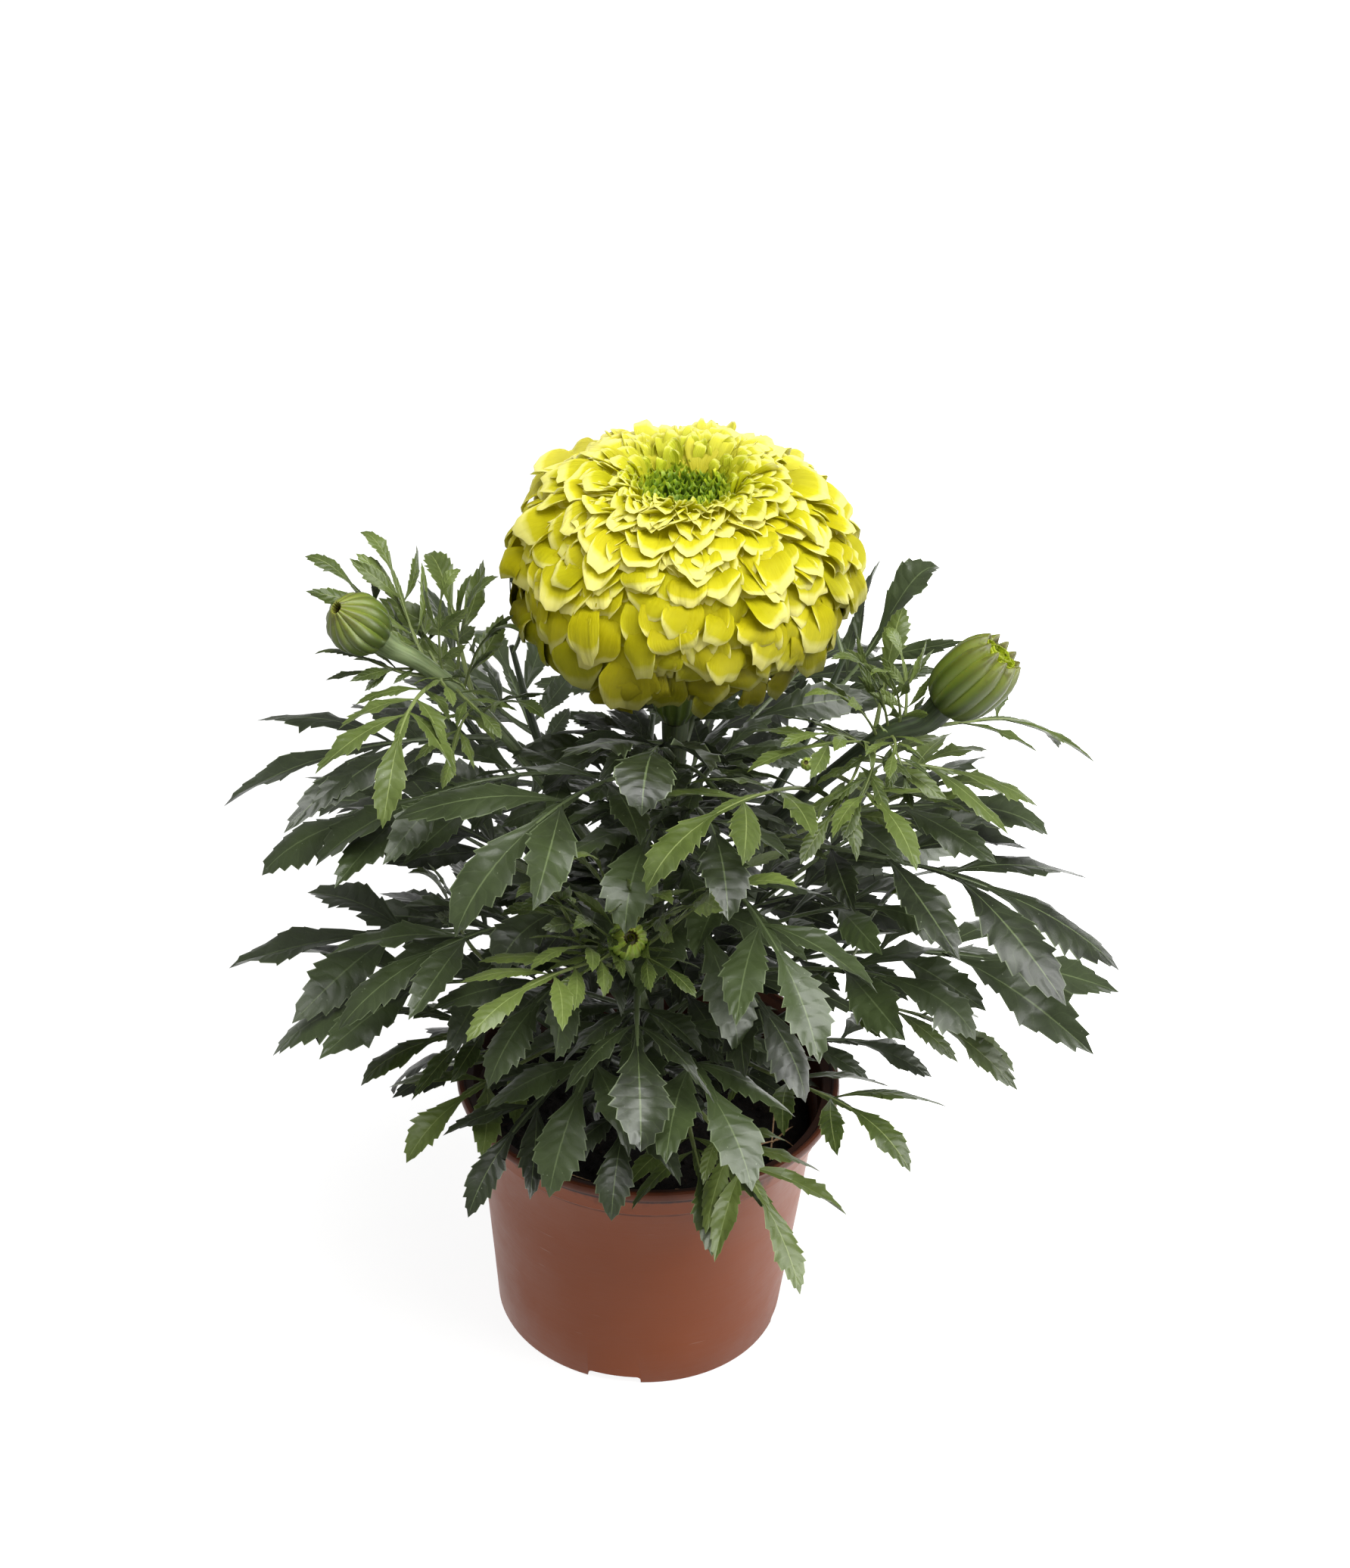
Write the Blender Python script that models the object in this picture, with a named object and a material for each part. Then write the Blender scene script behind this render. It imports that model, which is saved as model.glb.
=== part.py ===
"""Potted marigold: a nursery pot of soil and a branching marigold with one bloom and four buds.

Lengths are in millimetres until a mesh is made, which is in metres. The origin is the middle
of the pot's underside, +Z is up, and the plant's best side faces -Y.
"""
import math
import random

import bmesh
import bpy
from mathutils import Matrix, Vector
from mathutils.bvhtree import BVHTree

METRES = 0.001
GAP = 0.3
UP = Vector((0.0, 0.0, 1.0))
ORIGIN = Vector((0.0, 0.0, 0.0))

POT_SEGMENTS = 24
POT_HEIGHT = 90.0
POT_LIP_RADIUS = 60.0
POT_FOOT_RADIUS = 45.4
POT_WALL = 1.3
COLLAR_BOTTOM = 78.0
WALL_TOP_RADIUS = 53.2
COLLAR_RADIUS = 55.4
POT_FLOOR = 5.4
FOOT_GROOVE_DEPTH = 3.4
FOOT_DISC_RADIUS = 33.0
FOOT_RING_INNER = 42.6
NOTCH_WIDTH = 17.0
NOTCH_HEIGHT = 2.8
NOTCH_RADIUS = 44.5
NOTCH_REACH = 7.0
NOTCH_ANGLES = (-98.0, -8.0, 82.0, 172.0)
DRAIN_RADIUS = 2.6
DRAIN_CIRCLE = 38.0

SOIL_TOP = 75.0
STEM_HOLE_BOTTOM = 53.0

BLADE = 0.7
CLEARANCE = 0.4
RACHIS_WIDTH = 2.2
LEAFLET_ROOT = 3.4
END_STALK = 4.0
PAIR_SPACING = 17.0
FIRST_PAIR = 0.16
LEAFLET_FILL = 0.9
SMALL_REACH = 32

BLOOM_CENTRE = Vector((3.0, 0.0, 272.0))
BLOOM_RADIUS = 52.5
BLOOM_HALF_HEIGHT = 35.5
CUP_BOTTOM = 222.4
CUP_TOP = 250.0
FLORET_FLOOR = 291.0
FLORET_RADIUS = 13.0
FLORETS = 11

# Stems: points along the middle and the radius at each point.
STEMS = {
    "stem_main": (
        ((0, 0, 53.4), (0, 0, 75), (1, 1, 100), (0, 1, 125), (-1, 0, 150), (1, 1, 175),
         (3, 0, 200), (3, 0, 222)),
        (3.6, 3.6, 3.4, 3.2, 3.0, 2.8, 3.0, 3.9)),
    "branch_left": (
        ((-1, 0, 146), (-16, -3, 172), (-38, -5, 205), (-55, -7, 228), (-70, -10, 243),
         (-79, -13.5, 250.5), (-83.5, -17, 256.5)),
        (2.1, 1.9, 1.7, 1.8, 2.6, 3.3, 3.8)),
    "branch_right": (
        ((0, 1, 140), (16, -6, 168), (36, -14, 200), (52, -20, 222), (65, -20, 234),
         (75, -19, 238.5), (79.6, -19, 244)),
        (2.2, 2.0, 1.9, 2.3, 3.3, 4.0, 4.5)),
    "branch_front": (
        ((0, 0, 104), (-1, -18, 126), (-4, -38, 152), (-8, -49, 170), (-9.5, -53.5, 178),
         (-8.5, -57.5, 182)),
        (2.0, 1.7, 1.4, 1.4, 1.8, 2.2)),
    "branch_low_left": (
        ((0, 0, 88), (-18, -6, 102), (-38, -12, 122), (-50, -16, 142)),
        (1.9, 1.6, 1.3, 0.8)),
    "branch_low_right": (
        ((0, 1, 90), (20, -4, 104), (42, -9, 122), (54, -13, 144)),
        (1.9, 1.6, 1.3, 0.8)),
    "branch_low_front": (
        ((0, -1, 84), (6, -20, 92), (13, -36, 103), (18, -45, 114)),
        (1.8, 1.5, 1.2, 0.8)),
    "branch_back_left": (
        ((0, 1, 118), (-20, 22, 150), (-38, 38, 185), (-48, 46, 216)),
        (2.0, 1.7, 1.4, 0.8)),
    "branch_back_right": (
        ((0, 2, 124), (22, 20, 158), (42, 34, 192), (54, 42, 222)),
        (2.0, 1.7, 1.4, 0.8)),
    "branch_back": (
        ((0, 1, 98), (-4, 26, 122), (-6, 50, 150), (-4, 64, 182)),
        (2.0, 1.7, 1.4, 0.8)),
}
TWIG_POINTS = ((44, -17, 211), (43.5, -29, 226), (41.5, -37, 233))
TWIG_RADII = (1.0, 0.9, 1.0)

# Mature leaves: name, stem and place along it, tip, droop at the tip in degrees, pairs of
# leaflets, length of the end leaflet and its width as a share of its length.
LEAVES = (
    ("leaf_front_1", "stem_main", 0.93, (-6, -74, 238), 60, 2, 36, 0.47),
    ("leaf_front_2", "stem_main", 0.88, (-49, -88, 188), 60, 3, 46, 0.32),
    ("leaf_front_3", "branch_front", 0.42, (-1, -100, 140), 70, 2, 38, 0.42),
    ("leaf_front_4", "branch_front", 0.30, (31, -101, 138), 65, 2, 42, 0.33),
    ("leaf_front_5", "stem_main", 0.71, (49, -91, 168), 55, 3, 40, 0.31),
    ("leaf_front_6", "stem_main", 0.40, (-27, -92, 121), 65, 2, 38, 0.38),
    ("leaf_front_7", "stem_main", 0.50, (-46, -86, 142), 55, 3, 38, 0.31),
    ("leaf_front_8", "branch_front", 0.16, (-9, -95, 120), 70, 2, 34, 0.28),
    ("leaf_front_9", "stem_main", 0.29, (-50, -81, 84), 65, 2, 34, 0.24),
    ("leaf_front_10", "stem_main", 0.82, (32, -80, 198), 60, 3, 38, 0.33),
    ("leaf_front_11", "stem_main", 0.80, (-4, -78, 200), 75, 2, 40, 0.36),
    ("leaf_front_12", "stem_main", 0.66, (16, -74, 174), 80, 2, 40, 0.36),
    ("leaf_front_13", "stem_main", 0.62, (-26, -74, 164), 80, 2, 40, 0.36),
    ("leaf_front_14", "stem_main", 0.54, (46, -72, 138), 75, 2, 38, 0.34),
    ("leaf_left_1", "branch_left", 0.42, (-128, -20, 197), 40, 3, 48, 0.24),
    ("leaf_left_2", "branch_left", 0.28, (-116, -26, 176), 60, 2, 46, 0.28),
    ("leaf_left_3", "stem_main", 0.83, (-96, -46, 190), 50, 2, 40, 0.31),
    ("leaf_left_4", "stem_main", 0.50, (-101, 14, 166), 30, 3, 42, 0.31),
    ("leaf_left_5", "stem_main", 0.44, (-125, -25, 152), 25, 3, 48, 0.32),
    ("leaf_left_6", "stem_main", 0.36, (-112, -46, 125), 50, 3, 46, 0.33),
    ("leaf_left_7", "stem_main", 0.55, (-90, -71, 148), 45, 3, 42, 0.28),
    ("leaf_left_8", "branch_low_left", 0.36, (-76, 4, 63), 80, 2, 36, 0.28),
    ("leaf_right_1", "branch_right", 0.34, (114, -15, 192), 45, 2, 42, 0.29),
    ("leaf_right_2", "branch_right", 0.28, (137, -40, 167), 45, 3, 54, 0.29),
    ("leaf_right_3", "stem_main", 0.46, (97, -46, 187), 50, 3, 42, 0.28),
    ("leaf_right_4", "stem_main", 0.41, (90, -54, 140), 65, 3, 42, 0.35),
    ("leaf_right_5", "stem_main", 0.35, (146, 15, 118), 25, 2, 52, 0.31),
    ("leaf_right_6", "stem_main", 0.48, (88, 18, 150), 40, 3, 40, 0.38),
    ("leaf_right_7", "branch_low_right", 0.40, (86, 24, 74), 75, 2, 34, 0.26),
    ("leaf_back_1", "stem_main", 0.90, (-22, 98, 214), 45, 3, 44, 0.31),
    ("leaf_back_2", "stem_main", 0.83, (26, 104, 205), 45, 3, 44, 0.31),
    ("leaf_back_3", "stem_main", 0.40, (110, 50, 170), 45, 3, 46, 0.31),
    ("leaf_back_4", "stem_main", 0.44, (-112, 48, 150), 40, 3, 46, 0.31),
    ("leaf_back_5", "stem_main", 0.32, (88, 84, 124), 50, 3, 44, 0.31),
    ("leaf_back_6", "stem_main", 0.23, (-88, 50, 108), 60, 3, 40, 0.31),
    ("leaf_back_7", "branch_back", 0.25, (26, 96, 84), 65, 2, 38, 0.31),
    ("leaf_back_8", "branch_back_left", 0.35, (-84, 84, 176), 45, 2, 42, 0.31),
    ("leaf_back_9", "stem_main", 0.50, (20, 118, 150), 50, 3, 44, 0.31),
    ("leaf_back_10", "stem_main", 0.75, (60, 88, 196), 45, 3, 42, 0.31),
)

# Young leaves fused to their branch, in the same terms.
BRANCH_LEAVES = {
    "branch_left": (
        (0.60, (-77, -69, 226), 50, 3, 34, 0.28),
        (0.66, (-91, 2, 272), -15, 1, 24, 0.28),
        (0.50, (-72, 28, 258), 20, 2, 26, 0.31),
        (0.56, (-44, -6, 270), -20, 1, 20, 0.26),
        (0.62, (-101, -18, 250), 20, 1, 20, 0.21),
    ),
    "branch_right": (
        (0.60, (68, 4, 262), 0, 1, 26, 0.33),
        (0.68, (120, 26, 201), 60, 2, 34, 0.21),
        (0.53, (110, -20, 211), 40, 2, 32, 0.24),
        (0.47, (72, -72, 231), 40, 3, 32, 0.26),
        (0.40, (-2, -86, 234), 50, 3, 38, 0.35),
        (0.24, (104, 12, 190), 60, 2, 34, 0.26),
    ),
    "branch_front": (
        (0.60, (33, -74, 226), 0, 3, 34, 0.24),
        (0.72, (-50, -106, 181), 35, 3, 32, 0.26),
        (0.52, (-39, -82, 214), 20, 2, 22, 0.24),
    ),
    "branch_low_left": (
        (0.60, (-87, -36, 108), 55, 3, 34, 0.31),
        (0.44, (-71, -62, 100), 50, 3, 34, 0.31),
        (0.98, (-74, -20, 176), 10, 1, 24, 0.28),
    ),
    "branch_low_right": (
        (0.36, (78, -76, 117), 40, 3, 36, 0.26),
        (0.74, (115, 5, 93), 50, 3, 36, 0.26),
        (0.98, (76, -24, 182), 10, 1, 24, 0.28),
    ),
    "branch_low_front": (
        (0.62, (22, -86, 90), 65, 2, 34, 0.33),
        (0.84, (48, -91, 81), 65, 3, 36, 0.26),
    ),
    "branch_back_left": (
        (0.70, (-96, 62, 214), 40, 2, 32, 0.28),
        (0.56, (-62, 100, 186), 45, 3, 38, 0.28),
        (0.98, (-46, 50, 252), 0, 1, 26, 0.28),
    ),
    "branch_back_right": (
        (0.84, (82, 60, 242), 30, 2, 34, 0.47),
        (0.56, (64, 100, 186), 45, 3, 38, 0.28),
        (0.98, (40, 62, 250), 0, 1, 26, 0.28),
    ),
    "branch_back": (
        (0.60, (-72, 92, 128), 50, 3, 38, 0.28),
        (0.84, (-28, 122, 150), 60, 2, 36, 0.28),
        (0.50, (44, 112, 118), 55, 3, 38, 0.28),
    ),
}

# Rows of a leaflet's outline: place along it and half width as a share, its saw teeth included.
END_ROWS = ((0.34, 0.95), (0.58, 0.92), (0.69, 0.56))
SIDE_ROWS = ((0.42, 1.0), (0.54, 0.68))
SMALL_ROWS = ((0.44, 1.0),)
BASE_ROWS = ()

# Side leaflets counted from the tip: length as a share of the end leaflet's, and angle.
SIDE_LENGTHS = (0.92, 0.76, 0.54)
SIDE_ANGLES = (46, 55, 63)

# Rings of petals: angle of the tips from the bloom's top, and count. A petal's width is a
# share of its ring's circumference over the count.
PETAL_RINGS = (
    (17, 7), (31, 8), (46, 10), (62, 12), (79, 13), (96, 13), (113, 11), (129, 8),
)
PETAL_SHARE = 0.95


def bezier(curve, s):
    """Return the point at s on a cubic Bezier curve of four points."""
    a, b, c, d = curve
    r = 1.0 - s
    return a * r ** 3 + b * 3 * r * r * s + c * 3 * r * s * s + d * s ** 3


def bezier_slope(curve, s):
    """Return the direction at s, not of unit length."""
    a, b, c, d = curve
    r = 1.0 - s
    return (b - a) * 3 * r * r + (c - b) * 6 * r * s + (d - c) * 3 * s * s


def along_points(points, t):
    """Return place and direction at t, from 0 to 1, on a smooth curve through points."""
    spans = len(points) - 1
    span = min(int(t * spans), spans - 1)
    here = t * spans - span
    p1 = Vector(points[span])
    p2 = Vector(points[span + 1])
    p0 = Vector(points[span - 1]) if span > 0 else p1 * 2 - p2
    p3 = Vector(points[span + 2]) if span + 2 <= spans else p2 * 2 - p1
    curve = (p1, p1 + (p2 - p0) / 6, p2 - (p3 - p1) / 6, p2)
    return bezier(curve, here), bezier_slope(curve, here).normalized()


def radius_at(radii, t):
    """Return the stem's radius at t."""
    spans = len(radii) - 1
    span = min(int(t * spans), spans - 1)
    here = t * spans - span
    return radii[span] * (1 - here) + radii[span + 1] * here


def make_material(name, colour, roughness):
    """Return a Principled material of one linear colour."""
    material = bpy.data.materials.new(name)
    material.use_nodes = True
    shader = material.node_tree.nodes["Principled BSDF"]
    shader.inputs["Base Color"].default_value = (*colour, 1.0)
    shader.inputs["Roughness"].default_value = roughness
    shader.inputs["Metallic"].default_value = 0.0
    material.diffuse_color = (*colour, 1.0)
    return material


def add_object(name, points, faces, material):
    """Make an object from points in millimetres."""
    mesh = bpy.data.meshes.new(name)
    mesh.from_pydata([point * METRES for point in points], [], faces)
    mesh.materials.append(material)
    piece = bpy.data.objects.new(name, mesh)
    bpy.context.collection.objects.link(piece)
    return piece


def point_faces_out(piece):
    """Turn a closed mesh's faces outwards and split them into triangles."""
    sheet = bmesh.new()
    sheet.from_mesh(piece.data)
    bmesh.ops.triangulate(sheet, faces=sheet.faces)
    bmesh.ops.recalc_face_normals(sheet, faces=sheet.faces)
    sheet.to_mesh(piece.data)
    sheet.free()


def add_turned(name, profile, segments, material, centre=ORIGIN):
    """Spin a profile of (radius, height) about the upright line through centre."""
    turned = bmesh.new()
    rim = [turned.verts.new((centre + Vector((r, 0, z))) * METRES) for r, z in profile]
    edges = [turned.edges.new(pair) for pair in zip(rim, rim[1:])]
    bmesh.ops.spin(turned, geom=rim + edges, cent=centre * METRES, axis=UP, dvec=ORIGIN,
                   angle=math.tau, steps=segments, use_merge=True)
    bmesh.ops.remove_doubles(turned, verts=turned.verts, dist=0.01 * METRES)
    mesh = bpy.data.meshes.new(name)
    turned.to_mesh(mesh)
    turned.free()
    mesh.materials.append(material)
    piece = bpy.data.objects.new(name, mesh)
    bpy.context.collection.objects.link(piece)
    point_faces_out(piece)
    return piece


def add_tube(name, points, radii, sides, rings, material, spread=0.0):
    """Sweep a round section along points, from a flat end to a flat end."""
    corners = []
    side = Vector((1.0, 0.0, 0.0))
    for ring in range(rings + 1):
        place, along = along_points(points, ring / rings)
        side = (side - along * side.dot(along)).normalized()
        across = along.cross(side)
        radius = radius_at(radii, ring / rings) + spread
        for corner in range(sides):
            turn = math.tau * corner / sides
            corners.append(place + side * radius * math.cos(turn) + across * radius * math.sin(turn))
    faces = [tuple(range(sides))]
    for ring in range(rings):
        for corner in range(sides):
            other = (corner + 1) % sides
            low = ring * sides
            high = low + sides
            faces.append((low + corner, low + other, high + other, high + corner))
    faces.append(tuple(rings * sides + corner for corner in range(sides)))
    tube = add_object(name, corners, faces, material)
    point_faces_out(tube)
    return tube


def combine(piece, operation, others, solver="EXACT"):
    """Apply one Boolean of piece with all the others, which are then removed."""
    group = bpy.data.collections.new("operands")
    bpy.context.scene.collection.children.link(group)
    for other in others:
        bpy.context.collection.objects.unlink(other)
        group.objects.link(other)
    modifier = piece.modifiers.new("join", "BOOLEAN")
    modifier.operation = operation
    modifier.operand_type = "COLLECTION"
    modifier.collection = group
    modifier.solver = solver
    joined = bpy.data.meshes.new_from_object(
        piece.evaluated_get(bpy.context.evaluated_depsgraph_get()))
    piece.modifiers.clear()
    piece.data = joined
    for other in others:
        bpy.data.objects.remove(other, do_unlink=True)
    bpy.data.collections.remove(group)
    return piece


def make_pot(material):
    """Make the moulded pot: foot disc, groove, foot ring, wall, collar and rolled lip."""
    groove_roof = FOOT_GROOVE_DEPTH + POT_WALL
    profile = (
        (0, 0), (FOOT_DISC_RADIUS, 0), (FOOT_DISC_RADIUS + 1.2, FOOT_GROOVE_DEPTH),
        (FOOT_RING_INNER - 0.8, FOOT_GROOVE_DEPTH), (FOOT_RING_INNER, 0), (POT_FOOT_RADIUS - 0.8, 0),
        (POT_FOOT_RADIUS, 0.9), (WALL_TOP_RADIUS, COLLAR_BOTTOM), (COLLAR_RADIUS, COLLAR_BOTTOM + 0.9),
        (COLLAR_RADIUS + 1.4, 86.4), (POT_LIP_RADIUS, 87.2), (POT_LIP_RADIUS, POT_HEIGHT - 0.7),
        (POT_LIP_RADIUS - 0.9, POT_HEIGHT), (COLLAR_RADIUS, 86.6), (COLLAR_RADIUS - 1.6, 79.6),
        (WALL_TOP_RADIUS - POT_WALL, COLLAR_BOTTOM - 0.3), (POT_FOOT_RADIUS - POT_WALL, POT_FLOOR),
        (FOOT_DISC_RADIUS + 0.6, groove_roof), (FOOT_DISC_RADIUS - 0.8, POT_WALL), (0, POT_WALL),
    )
    pot = add_turned("pot", profile, POT_SEGMENTS, material)
    cutters = []
    for angle in NOTCH_ANGLES:
        turn = Matrix.Rotation(math.radians(angle), 4, "Z")
        bpy.ops.mesh.primitive_cube_add(size=1)
        notch = bpy.context.object
        notch.matrix_world = turn @ Matrix.Translation(Vector((NOTCH_RADIUS, 0, 0)) * METRES) @ (
            Matrix.Diagonal((NOTCH_REACH * METRES, NOTCH_WIDTH * METRES, 2 * NOTCH_HEIGHT * METRES, 1.0)))
        cutters.append(notch)
        bpy.ops.mesh.primitive_cylinder_add(vertices=8, radius=DRAIN_RADIUS * METRES, depth=6 * METRES)
        drain = bpy.context.object
        drain.matrix_world = Matrix.Rotation(math.radians(45), 4, "Z") @ turn @ Matrix.Translation(
            Vector((DRAIN_CIRCLE, 0, FOOT_GROOVE_DEPTH)) * METRES)
        cutters.append(drain)
    return combine(pot, "DIFFERENCE", cutters)


def make_soil(material):
    """Make the soil that fills the pot, lumpy on top, with a plain hole for the stem."""
    floor = POT_WALL + GAP
    step = FOOT_GROOVE_DEPTH + POT_WALL + GAP
    hole = radius_at(STEMS["stem_main"][1], 0.0) + GAP
    wall_slope = (WALL_TOP_RADIUS - POT_FOOT_RADIUS) / (COLLAR_BOTTOM - POT_FLOOR)
    foot = POT_FOOT_RADIUS - POT_WALL - GAP
    edge = foot + wall_slope * (SOIL_TOP - POT_FLOOR) - GAP
    profile = (
        (0, floor), (FOOT_DISC_RADIUS - 2.4, floor), (FOOT_DISC_RADIUS + 0.4, step + 0.2),
        (foot - 0.2, POT_FLOOR + 2 * GAP), (edge, SOIL_TOP - 1), (45, SOIL_TOP),
        (26, SOIL_TOP), (hole, SOIL_TOP),
        (hole, STEM_HOLE_BOTTOM), (0, STEM_HOLE_BOTTOM),
    )
    soil = add_turned("soil", profile, POT_SEGMENTS, material)
    rough = random.Random(5)
    for vertex in soil.data.vertices:
        radius = math.hypot(vertex.co.x, vertex.co.y) / METRES
        if vertex.co.z > (SOIL_TOP - 0.5) * METRES and radius > hole + 1:
            vertex.co.z += rough.uniform(-1.6, 1.4) * METRES
    return soil


def bloom_point(centre_angle, azimuth, grow):
    """Return the place on the bloom's outer shape, shrunk by grow, and the way out from it."""
    sine = math.sin(centre_angle)
    cosine = math.cos(centre_angle)
    flat = Vector((math.cos(azimuth), math.sin(azimuth), 0))
    place = BLOOM_CENTRE + flat * BLOOM_RADIUS * grow * sine + UP * BLOOM_HALF_HEIGHT * grow * cosine
    out = (flat * sine / BLOOM_RADIUS + UP * cosine / BLOOM_HALF_HEIGHT).normalized()
    return place, out


def petal_sheet(tip_angle, azimuth, width, ruffle):
    """Return the points and faces of one petal, which rises from the core and turns over."""
    root, out = bloom_point(math.radians(25) + tip_angle * 0.49, azimuth, 0.60)
    tip, tip_out = bloom_point(tip_angle, azimuth, 1.0)
    reach = (tip - root).length
    curve = (root, root + out * reach * 0.45, root.lerp(tip, 0.75) + tip_out * reach * 0.12, tip)
    across = Vector((-math.sin(azimuth), math.cos(azimuth), 0))
    points = []
    for s, share in ((0.0, 0.22), (0.60, 0.72)):
        place = bezier(curve, s)
        points += [place - across * width / 2 * share, place + across * width / 2 * share]
    fold = tip_out * ruffle
    corner = bezier(curve, 0.90)
    points += [corner - across * width / 2 + fold, tip - fold * 0.5, corner + across * width / 2 - fold]
    faces = [(0, 1, 3), (0, 3, 2), (2, 3, 5), (2, 5, 4), (3, 6, 5)]
    return points, faces


def make_bloom(petal_material, floret_material, cup_material):
    """Make the core with its rings of petals, the green florets on top and the cup below."""
    centre = Vector((BLOOM_CENTRE.x, BLOOM_CENTRE.y, 0))
    core_profile = (
        (0, CUP_TOP + GAP), (12, CUP_TOP + GAP), (26, 254), (35, 261), (38, 271), (35, 282), (27, 290),
        (18, 293.5), (FLORET_RADIUS + 1.2, 292), (FLORET_RADIUS + 0.4, FLORET_FLOOR), (0, FLORET_FLOOR),
    )
    core = add_turned("bloom_petals", core_profile, 16, petal_material, centre)
    draw = random.Random(11)
    petals = []
    for ring, (angle, count) in enumerate(PETAL_RINGS):
        width = math.tau * BLOOM_RADIUS * math.sin(math.radians(angle)) / count * PETAL_SHARE
        for number in range(count):
            azimuth = math.tau * (number + 0.5 * (ring % 2)) / count
            tip_angle = math.radians(angle + draw.uniform(-2.5, 2.5))
            points, faces = petal_sheet(tip_angle, azimuth, width, draw.uniform(-1.2, 1.2))
            petal = add_object("petal", points, faces, petal_material)
            thicken(petal, 0.9)
            petals.append(petal)
    combine(core, "UNION", petals, "MANIFOLD")

    floor_profile = ((0, FLORET_FLOOR + GAP), (FLORET_RADIUS, FLORET_FLOOR + GAP),
                     (FLORET_RADIUS, FLORET_FLOOR + 2), (6, FLORET_FLOOR + 3.2), (0, FLORET_FLOOR + 3.4))
    florets = add_turned("bloom_florets", floor_profile, 12, floret_material, centre)
    tubes = []
    for number in range(FLORETS):
        radius = (FLORET_RADIUS - 1.8) * math.sqrt((number + 0.5) / FLORETS)
        azimuth = number * math.radians(137.5)
        foot = centre + Vector((radius * math.cos(azimuth), radius * math.sin(azimuth), FLORET_FLOOR + 1.2))
        lean = Vector((math.cos(azimuth), math.sin(azimuth), 0)) * radius * 0.22
        head = foot + lean + UP * (7.5 + radius * 0.12)
        tubes.append(add_tube("floret", (foot, head), (0.9, 1.8), 4, 1, floret_material))
    combine(florets, "UNION", tubes, "MANIFOLD")

    cup_profile = ((0, CUP_BOTTOM), (4.4, CUP_BOTTOM), (7.0, CUP_BOTTOM + 5), (8.6, CUP_BOTTOM + 14),
                   (9.6, CUP_TOP), (0, CUP_TOP))
    cup = add_turned("bloom_cup", cup_profile, 12, cup_material, centre)
    return core, florets, cup


def thicken(piece, thickness):
    """Give a sheet of triangles its thickness, the same triangles on both faces."""
    modifier = piece.modifiers.new("blade", "SOLIDIFY")
    modifier.thickness = thickness * METRES
    modifier.offset = 0.0
    return modifier


def add_bud(name, stem, radius, length, opening, sides, material, petal_material=None):
    """Make a ribbed bud on the end of a stem, with petals in its mouth where it has any."""
    end, axis = along_points(stem[0], 1.0)
    foot = end + axis * GAP
    neck = stem[1][-1] * 0.96
    rows = ((0.0, neck), (0.16, radius * 0.74), (0.42, radius), (0.66, radius * 0.94),
            (0.86, radius * 0.70), (1.0, opening + radius * 0.12))
    side = axis.orthogonal().normalized()
    across = axis.cross(side)
    points = []
    for share, row_radius in rows:
        for corner in range(sides):
            turn = math.tau * corner / sides
            rib = 1.0 if corner % 2 else (0.90 if share > 0 else 1.0)
            spoke = (side * math.cos(turn) + across * math.sin(turn)) * row_radius * rib
            points.append(foot + axis * length * share + spoke)
    mouth = len(rows)
    for share, row_radius in ((0.97, opening), (0.80, opening * 0.9)):
        for corner in range(sides):
            turn = math.tau * corner / sides
            spoke = (side * math.cos(turn) + across * math.sin(turn)) * row_radius
            points.append(foot + axis * length * share + spoke)
    faces = [tuple(range(sides))]
    for row in range(mouth + 1):
        for corner in range(sides):
            other = (corner + 1) % sides
            low = row * sides
            faces.append((low + corner, low + other, low + sides + other, low + sides + corner))
    faces.append(tuple((mouth + 1) * sides + corner for corner in range(sides)))
    bud = add_object(name, points, faces, material)
    point_faces_out(bud)
    if petal_material:
        tuft = []
        for share, row_radius in ((0.80, opening * 0.9 - GAP), (0.98, opening - 1.2 * GAP)):
            for corner in range(8):
                turn = math.tau * corner / 8
                spoke = (side * math.cos(turn) + across * math.sin(turn)) * row_radius * 0.94
                tuft.append(foot + axis * (length * share + GAP) + spoke)
        for corner in range(8):
            turn = math.tau * corner / 8
            flare = 1.15 if corner % 2 else 0.7
            spoke = (side * math.cos(turn) + across * math.sin(turn)) * opening * flare
            tuft.append(foot + axis * length * (1.16 if corner % 2 else 1.06) + spoke)
        tuft.append(foot + axis * length * 1.02)
        faces = [tuple(range(8))]
        for row in range(2):
            for corner in range(8):
                other = (corner + 1) % 8
                low = row * 8
                faces.append((low + corner, low + other, low + 8 + other, low + 8 + corner))
        faces += [(16 + corner, 16 + (corner + 1) % 8, 24) for corner in range(8)]
        point_faces_out(add_object(name + "_petals", tuft, faces, petal_material))
    return bud


def leaf_curve(base, outset, tip, droop):
    """Return the leaf's middle line, which leaves along outset and ends drooping."""
    span = (tip - base).length
    level = Vector((tip.x - base.x, tip.y - base.y, 0)).normalized()
    ending = level * math.cos(droop) - UP * math.sin(droop)
    return base, base + outset * span * 0.36, tip - ending * span * 0.32, tip


def leaf_frame(curve, s):
    """Return place, direction, side and upper face of a leaf at s along its middle line."""
    along = bezier_slope(curve, s).normalized()
    outward = Vector((curve[3].x - curve[0].x, curve[3].y - curve[0].y, 0)).normalized()
    hint = UP - outward * along.z * 0.4
    side = along.cross(hint).normalized()
    return bezier(curve, s), along, side, side.cross(along)


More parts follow.
